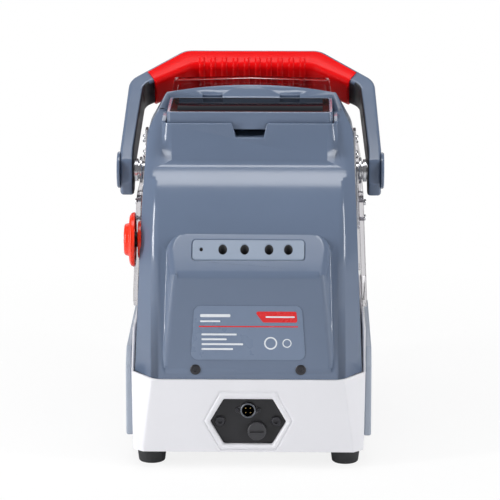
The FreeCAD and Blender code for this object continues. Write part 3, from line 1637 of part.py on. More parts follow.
def column():
    foot_low = s.foot_height + s.plate_thickness
    front = s.column_depth + s.column_thickness
    wall = box("column_wall", (-s.column_half, s.column_half), depths(s.column_depth, front),
               (foot_low, s.column_top))
    foot = box("column_foot", (-s.column_half, s.column_half), depths(s.column_foot_depth, front),
               (foot_low, foot_low + s.column_foot_height))
    reach = front + s.z_arm_reach
    arm_high = s.column_top - s.z_arm_thickness
    arms = [
        box("z_arm", (-s.z_block_half, s.z_block_half), depths(s.column_depth, reach),
            (low, low + s.z_arm_thickness))
        for low in (s.z_arm_low, arm_high)
    ]
    standoffs = [
        rod("board_standoff", "y", ((s.board_half - s.board_standoff_inset) * side, height),
            depths(s.board_depth + s.board_thickness, s.column_depth), s.board_standoff_radius)
        for side in (1, -1)
        for height in (s.board_low + s.board_standoff_inset, s.board_high - s.board_standoff_inset)
    ]
    lines = (s.z_arm_low, s.column_top)
    ways = [
        rod("z_rod_way", "z", (s.z_rod_half * side, back(s.slide_depth)), lines, s.z_rod_radius)
        for side in (1, -1)
    ]
    ways.append(rod("z_screw_way", "z", (0, back(s.slide_depth)), lines, s.screw_radius + s.bore_gap))
    ways.append(rod("y_screw_way", "y", (0, s.y_axis_height), depths(s.column_depth, front),
                    s.screw_radius + s.fit_gap))
    node("column", cut("column", fuse("column_blank", wall, foot, *arms, *standoffs), *ways))


def machine_bed():
    front = s.column_depth + s.column_thickness
    foot_low = s.foot_height + s.plate_thickness
    floor = box("bed_floor", (-s.bed_half, s.bed_half),
                depths(front + s.fit_gap, s.base_depth - s.wall - s.fit_gap),
                (s.bed_top - s.bed_thickness, s.bed_top))
    legs = [
        box("bed_leg", span, depths(front + s.fit_gap, s.bed_end_depth), (foot_low, s.bed_top))
        for span in ((s.bed_leg_half - s.bed_leg_thickness, s.bed_leg_half),
                     (-s.bed_leg_half, s.bed_leg_thickness - s.bed_leg_half))
    ]
    walls = [
        box("bed_wall", (-s.y_block_half, s.y_block_half), depths(near, near + s.bed_wall),
            (s.bed_top - s.bed_thickness, s.bed_wall_top))
        for near in (front + s.fit_gap, s.bed_end_depth - s.bed_wall)
    ]
    lines = depths(front + s.fit_gap, s.bed_end_depth)
    ways = [
        rod("y_rod_way", "y", (s.y_rod_half * side, s.y_axis_height), lines, s.y_rod_radius)
        for side in (1, -1)
    ]
    ways.append(rod("bed_screw_way", "y", (0, s.y_axis_height), lines, s.screw_radius + s.bore_gap))
    ways.append(box("chip_slot", (-s.chip_slot_half, s.chip_slot_half),
                    depths(s.chip_slot_start, s.chip_slot_end), (s.bed_top - s.bed_thickness, s.bed_top)))
    corner = s.base_front_chamfer + s.wall
    for side in (1, -1):
        y = back(s.base_depth - s.wall)
        wedge = [
            (s.bed_half * side, y),
            (s.bed_half * side, y + corner),
            ((s.bed_half - corner) * side, y),
        ]
        ways.append(prism("bed_corner", "xy", wedge, (s.bed_top - s.bed_thickness, s.bed_top)))
    node("machine_bed", cut("machine_bed", fuse("bed_blank", floor, *legs, *walls), *ways))


def chip_drawer():
    low = s.foot_height + s.plate_thickness + s.fit_gap
    face_near = s.base_depth - s.wall
    tray = box("drawer_tray", (-s.drawer_half, s.drawer_half), depths(s.drawer_start_depth, face_near),
               (low, s.drawer_top))
    hollow = box("drawer_hollow", (s.drawer_wall - s.drawer_half, s.drawer_half - s.drawer_wall),
                 depths(s.drawer_start_depth + s.drawer_wall, face_near - s.drawer_wall),
                 (low + s.drawer_wall, s.drawer_top + s.wall))
    face = box("drawer_face", (-s.drawer_face_half, s.drawer_face_half), depths(face_near, s.base_depth),
               (low, s.drawer_face_top))
    pull_top = s.drawer_face_top - s.drawer_wall
    pull = box("drawer_pull", (-s.drawer_pull_half, s.drawer_pull_half),
               depths(s.base_depth, s.overall_depth), (pull_top - s.drawer_pull_height, pull_top))
    node("chip_drawer", fuse("chip_drawer", cut("drawer_body", tray, hollow), face, pull))


# Slides

def z_slide():
    slide_y = back(s.slide_depth)
    inside = (s.z_arm_low, s.column_top)
    rods = [
        rod("z_guide_rod", "z", (s.z_rod_half * side, slide_y), inside, s.z_rod_radius)
        for side in (1, -1)
    ]
    node("z_guide_rods", group("z_guide_rods", rods))
    motor_top = s.z_arm_low
    node("z_motor", box("z_motor", (-s.z_motor_half, s.z_motor_half),
                        (slide_y - s.z_motor_half, slide_y + s.z_motor_half),
                        (motor_top - s.z_motor_length, motor_top)))
    node("z_lead_screw", rod("z_lead_screw", "z", (0, slide_y), (motor_top + s.fit_gap, s.column_top),
                             s.screw_radius))


def z_carriage():
    slide_y = back(s.slide_depth)
    spindle_y = back(s.spindle_depth)
    motor_y = back(s.motor_depth)
    block = box("z_block", (-s.z_block_half, s.z_block_half),
                (slide_y - s.z_block_half_width, slide_y + s.z_block_half_width),
                (s.z_block_low, s.z_block_high))
    plate = box("head_plate", (-s.probe_offset - 2 * s.probe_collar_radius, s.head_plate_half),
                depths(s.slide_depth, s.head_plate_front), (s.head_plate_low, s.z_block_high))
    housing = rod("spindle_housing", "z", (0, spindle_y), (s.housing_low, s.z_block_high), s.housing_radius)
    line = (s.z_block_low - s.wall, s.z_block_high + s.wall)
    ways = [
        rod("z_bush", "z", (s.z_rod_half * side, slide_y), line, s.z_rod_radius + s.bore_gap)
        for side in (1, -1)
    ]
    ways.append(rod("z_nut", "z", (0, slide_y), line, s.screw_radius + s.bore_gap))
    ways.append(rod("spindle_way", "z", (0, spindle_y), line, s.spindle_radius + s.fit_gap))
    ways += [
        rod("bearing_seat", "z", (0, spindle_y), span, s.bearing_radius)
        for span in bearing_spans()
    ]
    ways.append(rod("motor_shaft_way", "z", (0, motor_y), line, s.motor_shaft_radius + s.fit_gap))
    ways.append(rod("probe_way", "z", (-s.probe_offset, spindle_y), line, s.probe_radius))
    node("z_carriage", cut("z_carriage", fuse("z_blank", block, plate, housing), *ways))


def bearing_spans():
    """The heights of the two spindle bearings, at the ends of the housing."""
    lower = (s.housing_low, s.housing_low + s.bearing_width)
    upper = (s.z_block_high - s.bearing_width, s.z_block_high)
    return [lower, upper]


def spindle():
    spindle_y = back(s.spindle_depth)
    motor_y = back(s.motor_depth)
    bearings = []
    for span in bearing_spans():
        ring = rod("bearing_ring", "z", (0, spindle_y), span, s.bearing_radius)
        bore = rod("bearing_bore", "z", (0, spindle_y), span, s.spindle_radius + s.bore_gap)
        bearings.append(cut("spindle_bearing", ring, bore))
    node("spindle_bearings", group("spindle_bearings", bearings))
    shaft = rod("spindle_bar", "z", (0, spindle_y), (s.spindle_low, s.spindle_high), s.spindle_radius)
    cutter_bore = rod("cutter_bore", "z", (0, spindle_y), (s.spindle_low, s.cutter_high), s.cutter_radius)
    node("spindle_shaft", cut("spindle_shaft", shaft, cutter_bore))
    collet = turned("collet_blank", "z", (0, spindle_y, 0), [
        (s.cutter_radius, s.collet_low),
        (s.collet_nose_radius, s.collet_low),
        (s.collet_radius, s.collet_low + s.collet_nose_height),
        (s.collet_radius, s.collet_high),
        (s.spindle_radius, s.collet_high),
        (s.spindle_radius, s.spindle_low),
        (s.cutter_radius, s.spindle_low),
    ])
    node("collet_nut", collet)
    node("cutter", turned("cutter", "z", (0, spindle_y, 0), [
        (0, s.cutter_low),
        (s.cutter_tip_radius, s.cutter_low),
        (s.cutter_radius, s.cutter_low + s.cutter_tip_height),
        (s.cutter_radius, s.cutter_high),
        (0, s.cutter_high),
    ]))
    node("spindle_motor", cut(
        "spindle_motor",
        rod("motor_can", "z", (0, motor_y), (s.motor_low, s.head_plate_low), s.motor_radius),
        rod("motor_bore", "z", (0, motor_y), (s.motor_low + s.wall, s.head_plate_low),
            s.motor_shaft_radius + s.bore_gap),
    ))
    pulley_line = (s.pulley_low, s.pulley_high)
    node("spindle_pulley", cut(
        "spindle_pulley",
        rod("pulley_blank", "z", (0, spindle_y), pulley_line, s.pulley_radius),
        rod("pulley_bore", "z", (0, spindle_y), pulley_line, s.spindle_radius),
    ))
    node("motor_pulley", fuse(
        "motor_pulley",
        rod("motor_wheel", "z", (0, motor_y), pulley_line, s.pulley_radius),
        rod("motor_shaft", "z", (0, motor_y), (s.motor_low + s.wall + s.fit_gap, s.pulley_high),
            s.motor_shaft_radius),
    ))
    belt_line = (s.pulley_low + s.belt_edge, s.pulley_high - s.belt_edge)
    node("drive_belt", cut(
        "drive_belt",
        belt_loop("belt_outside", s.pulley_radius + s.fit_gap + s.belt_thickness, belt_line),
        belt_loop("belt_inside", s.pulley_radius + s.fit_gap, belt_line),
    ))
    pin = rod("probe_pin", "z", (-s.probe_offset, spindle_y), (s.probe_low, s.z_block_high), s.probe_radius)
    collar = rod("probe_collar", "z", (-s.probe_offset, spindle_y),
                 (s.head_plate_low - s.probe_collar_height, s.head_plate_low), s.probe_collar_radius)
    node("probe", fuse("probe", pin, collar))


def belt_loop(label, radius, line):
    """A slab with round ends about the two pulleys."""
    ends = [
        rod(label + "_end", "z", (0, back(depth)), line, radius)
        for depth in (s.spindle_depth, s.motor_depth)
    ]
    middle = box(label + "_middle", (-radius, radius), depths(s.motor_depth, s.spindle_depth), line)
    return fuse(label, middle, *ends)


def y_slide():
    front = s.column_depth + s.column_thickness
    inside = depths(front + s.fit_gap, s.bed_end_depth)
    rods = [
        rod("y_guide_rod", "y", (s.y_rod_half * side, s.y_axis_height), inside, s.y_rod_radius)
        for side in (1, -1)
    ]
    node("y_guide_rods", group("y_guide_rods", rods))
    height = s.y_axis_height
    node("y_motor", box("y_motor", (-s.y_motor_half, s.y_motor_half),
                        depths(s.column_depth - s.y_motor_length, s.column_depth),
                        (height - s.y_motor_half, height + s.y_motor_half)))
    node("y_lead_screw", rod("y_lead_screw", "y", (0, height),
                             depths(s.column_depth + s.fit_gap, s.bed_end_depth), s.screw_radius))


def y_carriage():
    middle = s.spindle_depth
    across = depths(middle - s.y_block_half_length, middle + s.y_block_half_length)
    block = box("y_block", (-s.y_block_half, s.y_block_half), across, (s.y_block_low, s.y_block_high))
    cheeks = [
        box("x_cheek", span, across, (s.y_block_high, s.x_cheek_high))
        for span in ((s.y_block_half - s.x_cheek_width, s.y_block_half),
                     (-s.y_block_half, s.x_cheek_width - s.y_block_half))
    ]
    ways = [
        rod("y_bush", "y", (s.y_rod_half * side, s.y_axis_height), across, s.y_rod_radius + s.bore_gap)
        for side in (1, -1)
    ]
    ways.append(rod("y_nut", "y", (0, s.y_axis_height), across, s.screw_radius + s.bore_gap))
    side_line = (-s.y_block_half, s.y_block_half)
    ways += [
        rod("x_rod_way", "x", (back(middle + spread), s.x_axis_height), side_line, s.x_rod_radius)
        for spread in (s.x_rod_spread, -s.x_rod_spread)
    ]
    ways.append(rod("x_screw_way", "x", (back(middle), s.x_axis_height), side_line,
                    s.x_screw_radius + s.bore_gap))
    node("y_carriage", cut("y_carriage", fuse("y_blank", block, *cheeks), *ways))
    rods = [
        rod("x_guide_rod", "x", (back(middle + spread), s.x_axis_height), side_line, s.x_rod_radius)
        for spread in (s.x_rod_spread, -s.x_rod_spread)
    ]
    node("x_guide_rods", group("x_guide_rods", rods))
    node("x_motor", box("x_motor", (s.y_block_half, s.y_block_half + s.x_motor_length),
                        depths(middle - s.x_motor_half, middle + s.x_motor_half),
                        (s.x_axis_height - s.x_motor_half, s.x_axis_height + s.x_motor_half)))
    node("x_lead_screw", rod("x_lead_screw", "x", (back(middle), s.x_axis_height),
                             (-s.y_block_half, s.y_block_half - s.fit_gap), s.x_screw_radius))


def x_carriage():
    middle = s.spindle_depth
    across = depths(middle - s.x_block_half_length, middle + s.x_block_half_length)
    side_line = (-s.x_block_half, s.x_block_half)
    block = box("x_block", side_line, across, (s.x_block_low_height, s.x_block_high))
    ways = [
        rod("x_bush", "x", (back(middle + spread), s.x_axis_height), side_line, s.x_rod_radius + s.bore_gap)
        for spread in (s.x_rod_spread, -s.x_rod_spread)
    ]
    ways.append(rod("x_nut", "x", (back(middle), s.x_axis_height), side_line, s.x_screw_radius + s.bore_gap))
    node("x_carriage", cut("x_carriage", block, *ways))


# Key clamp

def clamp():
    middle = s.spindle_depth
    near = middle - s.clamp_half_length
    far = middle + s.clamp_half_length
    sides = (-s.clamp_half, s.clamp_half)
    floor = box("clamp_floor", sides, depths(near, far), (s.x_block_high, s.clamp_floor))
    fixed_jaw = box("fixed_jaw", sides, depths(near, middle - s.jaw_gap_rear), (s.clamp_floor, s.clamp_top))
    front_wall = box("clamp_wall", sides, depths(far - s.clamp_front_wall, far),
                     (s.clamp_floor, s.clamp_top))
    bore = rod("clamp_bore", "y", (0, s.clamp_screw_height), depths(far - s.clamp_front_wall, far),
               s.clamp_screw_radius + s.bore_gap)
    node("clamp_base", cut("clamp_base", fuse("clamp_blank", floor, fixed_jaw, front_wall), bore))
    jaw_near = middle + s.jaw_gap_front
    jaw = box("jaw_block", sides, depths(jaw_near, jaw_near + s.jaw_length),
              (s.clamp_floor + s.fit_gap, s.clamp_top))
    jaw_bore = rod("jaw_bore", "y", (0, s.clamp_screw_height),
                   depths(jaw_near + s.wall, jaw_near + s.jaw_length), s.clamp_screw_radius + s.bore_gap)
    node("clamp_jaw", cut("clamp_jaw", jaw, jaw_bore))
    screw_near = jaw_near + s.wall + s.fit_gap
    spot = (0, back(0), s.clamp_screw_height)
    knob_near = far + s.fit_gap
    knob = turned("clamp_knob", "-y", spot, [
        (0, screw_near),
        (s.clamp_screw_radius, screw_near),
        (s.clamp_screw_radius, knob_near),
        (s.clamp_knob_radius, knob_near),
        (s.clamp_knob_radius, knob_near + s.clamp_knob_length),
        (0, knob_near + s.clamp_knob_length),
    ], {4: s.clamp_knob_round})
    node("clamp_knob", knob)


# Electrics

def electrics():
    board = box("board", (-s.board_half, s.board_half),
                depths(s.board_depth, s.board_depth + s.board_thickness), (s.board_low, s.board_high))
    middle = (s.board_low + s.board_high) / 2
    cooler = box("cooler", (-s.cooler_half, s.cooler_half),
                 depths(s.board_depth - s.cooler_height, s.board_depth),
                 (middle - s.cooler_half, middle + s.cooler_half))
    node("main_board", fuse("main_board", board, cooler))
    inside = s.hump_depth + s.wall
    node("power_module", box("power_module", (-s.module_half, s.module_half),
                             depths(inside, s.module_end_depth), (s.module_low, s.module_high)))
    lip_end = s.nose_depth - s.wall - s.overhang_lip
    node("work_lamp", box("work_lamp", (-s.lamp_half, s.lamp_half),
                          depths(lip_end + s.lamp_inset, lip_end + s.lamp_inset + s.lamp_width),
                          (s.overhang_height - s.lamp_height, s.overhang_height)))


def build():
    feet()
    base_outside = base_shell()
    base_plate()
    side_panels(base_outside)
    rear_cover()
    tool_rack()
    rating_plate()
    case_screws()
    power_panel()
    power_socket()
    fuse_parts()
    emergency_stop()
    screen()
    arm_face, arm_outer = hinges()
    hood = clear_cover()
    hinge_arms(arm_face, arm_outer, hood)
    handle()
    column()
    machine_bed()
    chip_drawer()
    z_slide()
    z_carriage()
    spindle()
    y_slide()
    y_carriage()
    x_carriage()
    clamp()
    electrics()


def check_and_write():
    doc.recompute()
    for thing in doc.Objects:
        if "Invalid" in thing.State or "Error" in thing.State:
            raise RuntimeError(f"{thing.Label} did not rebuild: {thing.State}")
    for piece in nodes:
        if piece.Shape.isNull() or not piece.Shape.isValid() or not piece.Shape.Solids:
            raise RuntimeError(f"{piece.Label} is not a sound solid")
    os.makedirs("parts", exist_ok=True)
    for piece in nodes:
        piece.Shape.exportStep(f"parts/{piece.Label}.step")


build()
check_and_write()
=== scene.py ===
import json
import math

import bmesh
import bpy
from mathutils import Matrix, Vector

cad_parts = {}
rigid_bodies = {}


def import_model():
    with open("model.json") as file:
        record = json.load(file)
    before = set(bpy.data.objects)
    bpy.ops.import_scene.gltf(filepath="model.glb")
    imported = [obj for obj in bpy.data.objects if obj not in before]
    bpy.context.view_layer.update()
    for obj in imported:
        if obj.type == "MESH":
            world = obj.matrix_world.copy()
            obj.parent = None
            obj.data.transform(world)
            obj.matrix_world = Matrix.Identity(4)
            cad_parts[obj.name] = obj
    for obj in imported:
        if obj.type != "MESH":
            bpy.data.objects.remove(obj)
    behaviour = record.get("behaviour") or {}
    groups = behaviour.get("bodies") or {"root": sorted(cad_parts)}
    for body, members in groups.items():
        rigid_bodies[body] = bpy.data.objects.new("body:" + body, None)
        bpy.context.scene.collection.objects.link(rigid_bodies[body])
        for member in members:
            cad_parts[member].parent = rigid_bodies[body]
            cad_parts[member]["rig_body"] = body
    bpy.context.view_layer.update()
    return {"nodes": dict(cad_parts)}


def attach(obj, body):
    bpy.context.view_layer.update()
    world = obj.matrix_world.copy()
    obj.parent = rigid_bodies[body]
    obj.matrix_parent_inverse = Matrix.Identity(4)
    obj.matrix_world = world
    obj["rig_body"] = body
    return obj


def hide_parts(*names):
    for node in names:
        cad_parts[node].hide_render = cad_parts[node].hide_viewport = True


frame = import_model()
nodes = frame["nodes"]
scene = bpy.context.scene
scene.view_settings.view_transform = "Standard"

# Lengths are in millimetres until a mesh is finished. Depths run from the rear face to the front.
MM = 0.001
REAR_FACE = 125.0


def back(depth):
    """The Y of a depth measured from the rear face."""
    return REAR_FACE - depth


# Finishes

def tone(red, green, blue):
    """A colour given as on a screen, made linear."""
    def linear(value):
        part = value / 255
        return part / 12.92 if part <= 0.04045 else ((part + 0.055) / 1.055) ** 2.4
    return linear(red), linear(green), linear(blue), 1.0


def scaled(colour, factor):
    return tuple(min(1.0, part * factor) for part in colour[:3]) + (1.0,)


def noise(tree, source, scale, detail):
    made = tree.nodes.new("ShaderNodeTexNoise")
    made.inputs["Scale"].default_value = scale
    made.inputs["Detail"].default_value = detail
    tree.links.new(source, made.inputs["Vector"])
    return made.outputs["Fac"]


NOISE_LOW = 0.3
NOISE_HIGH = 0.7
DRIFT_SCALE = 13.0
GLOSS_SCALE = 60.0
GLOSS_SPREAD = 0.12
RELIEF_DEPTH = 0.0004


def surface(name, colour, rough, metal=0.0, grain=1100.0, relief=0.05, drift=0.05, stretch=(1, 1, 1)):
    """A finish with slow colour drift, uneven gloss and fine relief on the piece's own coordinates."""
    made = bpy.data.materials.new(name)
    made.use_nodes = True
    tree = made.node_tree
    shader = tree.nodes["Principled BSDF"]
    shader.inputs["Metallic"].default_value = metal
    coords = tree.nodes.new("ShaderNodeTexCoord")
    mapping = tree.nodes.new("ShaderNodeMapping")
    mapping.inputs["Scale"].default_value = stretch
    tree.links.new(coords.outputs["Object"], mapping.inputs["Vector"])
    place = mapping.outputs["Vector"]
    ramp = tree.nodes.new("ShaderNodeValToRGB")
    ramp.color_ramp.elements[0].position = NOISE_LOW
    ramp.color_ramp.elements[0].color = scaled(colour, 1 - drift)
    ramp.color_ramp.elements[1].position = NOISE_HIGH
    ramp.color_ramp.elements[1].color = scaled(colour, 1 + drift)
    tree.links.new(noise(tree, place, DRIFT_SCALE, detail=5.0), ramp.inputs["Fac"])
    tree.links.new(ramp.outputs["Color"], shader.inputs["Base Color"])
    gloss = tree.nodes.new("ShaderNodeMapRange")
    gloss.inputs["From Min"].default_value = NOISE_LOW
    gloss.inputs["From Max"].default_value = NOISE_HIGH
    gloss.inputs["To Min"].default_value = rough * (1 - GLOSS_SPREAD)
    gloss.inputs["To Max"].default_value = min(1.0, rough * (1 + GLOSS_SPREAD))
    tree.links.new(noise(tree, place, GLOSS_SCALE, detail=3.0), gloss.inputs["Value"])
    tree.links.new(gloss.outputs["Result"], shader.inputs["Roughness"])
    bump = tree.nodes.new("ShaderNodeBump")
    bump.inputs["Strength"].default_value = relief
    bump.inputs["Distance"].default_value = RELIEF_DEPTH
    tree.links.new(noise(tree, place, grain, detail=2.0), bump.inputs["Height"])
    tree.links.new(bump.outputs["Normal"], shader.inputs["Normal"])
    return made


def shader_of(material):
    return material.node_tree.nodes["Principled BSDF"]


case_grey = surface("case_grey", tone(100, 114, 137), 0.17, relief=0.02, drift=0.03)
rack_grey = surface("rack_grey", tone(126, 140, 160), 0.34)
panel_grey = surface("panel_grey", tone(156, 165, 179), 0.42, relief=0.08)
base_white = surface("base_white", tone(226, 226, 231), 0.36, relief=0.03, drift=0.012)
grip_red = surface("grip_red", tone(228, 5, 9), 0.34, grain=1500.0, relief=0.04, drift=0.04)
button_red = surface("button_red", tone(241, 50, 16), 0.26, drift=0.03)
# Black rubber for the feet and the belt; the same finish lines the tool holes as painted shade.
rubber_and_shade_black = surface("rubber_and_shade_black", tone(48, 48, 51), 0.7, grain=1700.0, relief=0.22, drift=0.12)
fitting_black = surface("fitting_black", tone(50, 50, 54), 0.36, grain=1600.0, relief=0.06, drift=0.1)
panel_black = surface("panel_black", tone(38, 38, 41), 0.4, grain=1600.0, relief=0.06, drift=0.1)
arm_black = surface("arm_black", tone(34, 37, 43), 0.45, grain=1500.0, relief=0.1, drift=0.1)
screw_black = surface("screw_black", tone(58, 58, 62), 0.34, metal=0.7, drift=0.1)
plate_film = surface("plate_film", tone(112, 127, 151), 0.3, relief=0.008, drift=0.02)
# Pale print for the plate and the button's arrows; the pale disc on the button's end is a painted
# highlight.
print_and_highlight_pale = surface("print_and_highlight_pale", tone(222, 226, 232), 0.25, relief=0.02, drift=0.02)
print_red = surface("print_red", tone(214, 30, 34), 0.25, relief=0.02, drift=0.03)
bright_steel = surface("bright_steel", tone(206, 206, 210), 0.24, metal=1.0, relief=0.06,
                       grain=500.0, stretch=(1, 1, 0.08))
ground_steel = surface("ground_steel", tone(188, 190, 194), 0.26, metal=1.0, relief=0.05,
                       grain=700.0, stretch=(1, 0.06, 1))
cast_aluminium = surface("cast_aluminium", tone(182, 184, 188), 0.46, metal=0.9, relief=0.16,
                         grain=800.0)
motor_black = surface("motor_black", tone(38, 39, 42), 0.5, metal=0.35, relief=0.1, drift=0.1)
screen_black = surface("screen_black", tone(30, 28, 28), 0.1, relief=0.0, drift=0.04)
display_black = surface("display_black", tone(22, 24, 30), 0.08, relief=0.0, drift=0.05)
lamp_white = surface("lamp_white", tone(240, 240, 232), 0.4, drift=0.01)
board_green = surface("board_green", tone(24, 92, 58), 0.4, drift=0.14, grain=400.0, relief=0.12)
chip_black = surface("chip_black", tone(30, 30, 32), 0.45, relief=0.1, drift=0.1)
brass = surface("brass", tone(196, 160, 84), 0.28, metal=1.0, drift=0.06)
module_grey = surface("module_grey", tone(96, 100, 108), 0.45, metal=0.5, relief=0.1)
SHINE = ((grip_red, 0.16), (panel_black, 0.35), (screen_black, 0.002), (display_black, 0.002))
for finish, level in SHINE:
    shader_of(finish).inputs["Specular IOR Level"].default_value = level

acrylic = surface("clear_acrylic", tone(206, 204, 207), 0.05, relief=0.0, drift=0.01)
shader_of(acrylic).inputs["Transmission Weight"].default_value = 1.0
shader_of(acrylic).inputs["IOR"].default_value = 1.16

FINISH_OF_NODE = {
    "base_plate": cast_aluminium, "foot_screws": bright_steel, "socket_insert": panel_black,
    "fuse_holder": fitting_black, "estop_plunger": panel_black, "screen_hinges": rack_grey,
    "pivot_pins": bright_steel, "z_guide_rods": ground_steel, "spindle_bearings": bright_steel,
    "motor_pulley": cast_aluminium, "drive_belt": rubber_and_shade_black, "probe": bright_steel,
    "spindle_shaft": ground_steel, "spindle_pulley": cast_aluminium, "collet_nut": screw_black,
    "cutter": bright_steel, "y_guide_rods": ground_steel, "x_guide_rods": ground_steel,
    "clamp_knob": panel_black, "main_board": board_green, "work_lamp": lamp_white,
}
for name, material in FINISH_OF_NODE.items():
    nodes[name].data.materials.clear()
    nodes[name].data.materials.append(material)


# Finished pieces

def linked(name, mesh):
    made = bpy.data.objects.new(name, mesh)
    scene.collection.objects.link(made)
    return made


def plain_mesh(made):
    """Works an object's modifiers into its mesh and clears them."""
    bpy.context.view_layer.update()
    ready = made.evaluated_get(bpy.context.evaluated_depsgraph_get())
    mesh = bpy.data.meshes.new_from_object(ready)
    made.modifiers.clear()
    made.data = mesh


def carried(made, body, slot, *covered):
    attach(made, body)
    if covered:
        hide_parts(*covered)
    return made


def body_of(node):
    return nodes[node]["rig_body"]


MERGE_GAP = 0.004
FLAT_ANGLE = 0.35
TWIST_ANGLE = 1.5
HUMP_HALF = 72.0
DOCK_TOP = 262.0


def corner_face(face):
    """One of the wide slanting faces at the rear corners, which are very slightly twisted."""
    slanting = 0.6 < abs(face.normal.x) < 0.8 and face.normal.y > 0.6
    return slanting and abs(face.calc_center_median().x) > HUMP_HALF * MM


def dock_top(face):
    """The face round the screen's recess, which keeps its own triangles because it has a hole."""
    return face.normal.z > 0.9 and face.calc_center_median().z > DOCK_TOP * MM


def softened(node, material, slot, width, segments=2, angle=34.0, share=None):
    """A solid with its sharp edges rolled over, as a moulding or a machined piece has them."""
    work = bmesh.new()
    work.from_mesh(nodes[node].data)
    bmesh.ops.remove_doubles(work, verts=work.verts, dist=MERGE_GAP * MM)
    plain = [edge for edge in work.edges if not all(dock_top(face) for face in edge.link_faces)]
    bmesh.ops.dissolve_limit(work, angle_limit=math.radians(FLAT_ANGLE), verts=work.verts, edges=plain)
    twisted = [edge for edge in work.edges
               if edge.link_faces and all(corner_face(face) for face in edge.link_faces)]
    bmesh.ops.dissolve_limit(work, angle_limit=math.radians(TWIST_ANGLE), verts=[], edges=twisted)
    weight = work.edges.layers.float.new("bevel_weight_edge")
    for edge in work.edges:
        if len(edge.link_faces) == 2 and edge.calc_face_angle(0.0) > math.radians(angle):
            middle = (edge.verts[0].co + edge.verts[1].co) / (2 * MM)
            edge[weight] = share(edge, middle) if share else 1.0
    mesh = bpy.data.meshes.new(node + "_rolled")
    work.to_mesh(mesh)
    work.free()
    for stale in [layer for layer in mesh.attributes if layer.name == "custom_normal"]:
        mesh.attributes.remove(stale)
    mesh.shade_smooth()
    made = linked(node + "_rolled", mesh)
    bevel = made.modifiers.new("rolled_edges", "BEVEL")
    bevel.width = width * MM
    bevel.segments = segments
    bevel.limit_method = "WEIGHT"
    bevel.use_clamp_overlap = False
    even = made.modifiers.new("even_faces", "WEIGHTED_NORMAL")
    even.keep_sharp = True
    plain_mesh(made)
    made.data.materials.clear()
    made.data.materials.append(material)
    return carried(made, body_of(node), slot, node)


def outer_corners(edge, middle):
    """Only corners that stand out are rolled; the hollows stay crisp."""
    return 1.0 if edge.is_convex else 0.0


# Where the cover's edges change: half widths across, depths from the rear face and heights.
SHELF_NORMAL = Vector((0, 1, 1)).normalized()
SHELF_START = 158.4
SHELF_SLACK = 0.6
RACK_HALF = 47.0
RACK_DEPTH = 9.0
HUMP_FOOT = 90.0
HUMP_STEP = 3.0
FACE_HALF = 60.0
FACE_THICK = 6.0
HOLLOW_HALF = 70.0
HOLLOW_DEPTH = 20.0
HOLLOW_TOP = 156.0
HOOD_START = 88.0
COVER_FOOT = 78.0
CREASE = 75.0
CREASE_SLACK = 0.5
DOCK_LOW = 222.0
DOCK_FLOOR = 250.0
DOCK_INNER = 69.5
DOCK_START = 70.0
RECESS_START = 73.0
RECESS_END = 150.2
RIM_ROLL = 0.76
SMALL_ROLL = 0.18
ROLL_GROWTH = 40.0


def cover_corners(edge, middle):
    """The share of the full roll that an edge of the cover takes.

    The column's creases and the rim of the hump's shelf are wide; what is out of sight stays crisp.
    """
    across = abs(middle.x)
    under_hood = middle.y < back(HOOD_START) and middle.z < DOCK_LOW
    at_foot = middle.z < COVER_FOOT or (middle.z < HUMP_FOOT and middle.y > back(HUMP_STEP))
    in_recess = across < DOCK_INNER and back(RECESS_END) < middle.y < back(RECESS_START)
    in_dock = in_recess and middle.z > DOCK_FLOOR
    behind_face = across < FACE_HALF and middle.y < back(FACE_THICK)
    behind_sides = across < HOLLOW_HALF and middle.y < back(HOLLOW_DEPTH)
    in_hollow = (behind_face or behind_sides) and middle.z < HOLLOW_TOP
    if not edge.is_convex or under_hood or at_foot or in_dock or in_hollow:
        return 0.0
    level = abs(middle.z - SHELF_START - back(middle.y)) < SHELF_SLACK
    on_shelf = level and any(face.normal.dot(SHELF_NORMAL) > 0.999 for face in edge.link_faces)
    beside_rack = across > RACK_HALF or middle.y > back(RACK_DEPTH)
    if on_shelf and beside_rack:
        return RIM_ROLL
    sideways = sorted(abs(face.normal.x) for face in edge.link_faces)
    slant_meets_rear = 0.5 < sideways[1] < 0.8 and sideways[0] < 0.05
    below_dock = middle.y > back(DOCK_START) and middle.z < DOCK_LOW
    on_crease = below_dock and abs(across - CREASE) < CREASE_SLACK
    if on_crease and slant_meets_rear:
        return min(1.0, SMALL_ROLL + (DOCK_LOW - middle.z) / ROLL_GROWTH)
    return SMALL_ROLL


WEB_TOP = 17.0
WEB_DEPTH = 20.0
WEB_ROLL = 0.25


def base_corners(edge, middle):
    """The thin web under the power panel's recess takes a smaller roll."""
    if not edge.is_convex:
        return 0.0
    return WEB_ROLL if middle.z < WEB_TOP and middle.y > back(WEB_DEPTH) else 1.0


# The carrying handle leans forward over the machine; its own directions are used for what sits on it.

LEAN = math.radians(53.0)
PIVOT = Vector((0, back(120), 219.5))
ALONG_ARM = Vector((0, -math.sin(LEAN), math.cos(LEAN)))
OUT_OF_ARM = Vector((0, math.cos(LEAN), math.sin(LEAN)))
LUG_START = 90.0
BORE_REACH = 8.0


def arm_corners(edge, middle):
    """The arms' corners are rolled, but not the bores of the pivot."""
    at_bore = abs(middle.x) > LUG_START and (middle - PIVOT).yz.length < BORE_REACH
    return 0.0 if at_bore or not edge.is_convex else 1.0


def on_handle(across, reach, proud):
    return PIVOT + Vector((across, 0, 0)) + ALONG_ARM * reach + OUT_OF_ARM * proud


SHARP_ANGLE = 35.0
GROWN_SHARP_ANGLE = 40.0


def shape_of(name, work):
    """A mesh made in millimetres, turned outwards, brought to metres and shaded."""
    bmesh.ops.recalc_face_normals(work, faces=work.faces)
    bmesh.ops.scale(work, vec=(MM, MM, MM), verts=work.verts)
    mesh = bpy.data.meshes.new(name)
    work.to_mesh(mesh)
    work.free()
    mesh.shade_smooth()
    mesh.set_sharp_from_angle(angle=math.radians(SHARP_ANGLE))
    return linked(name, mesh)


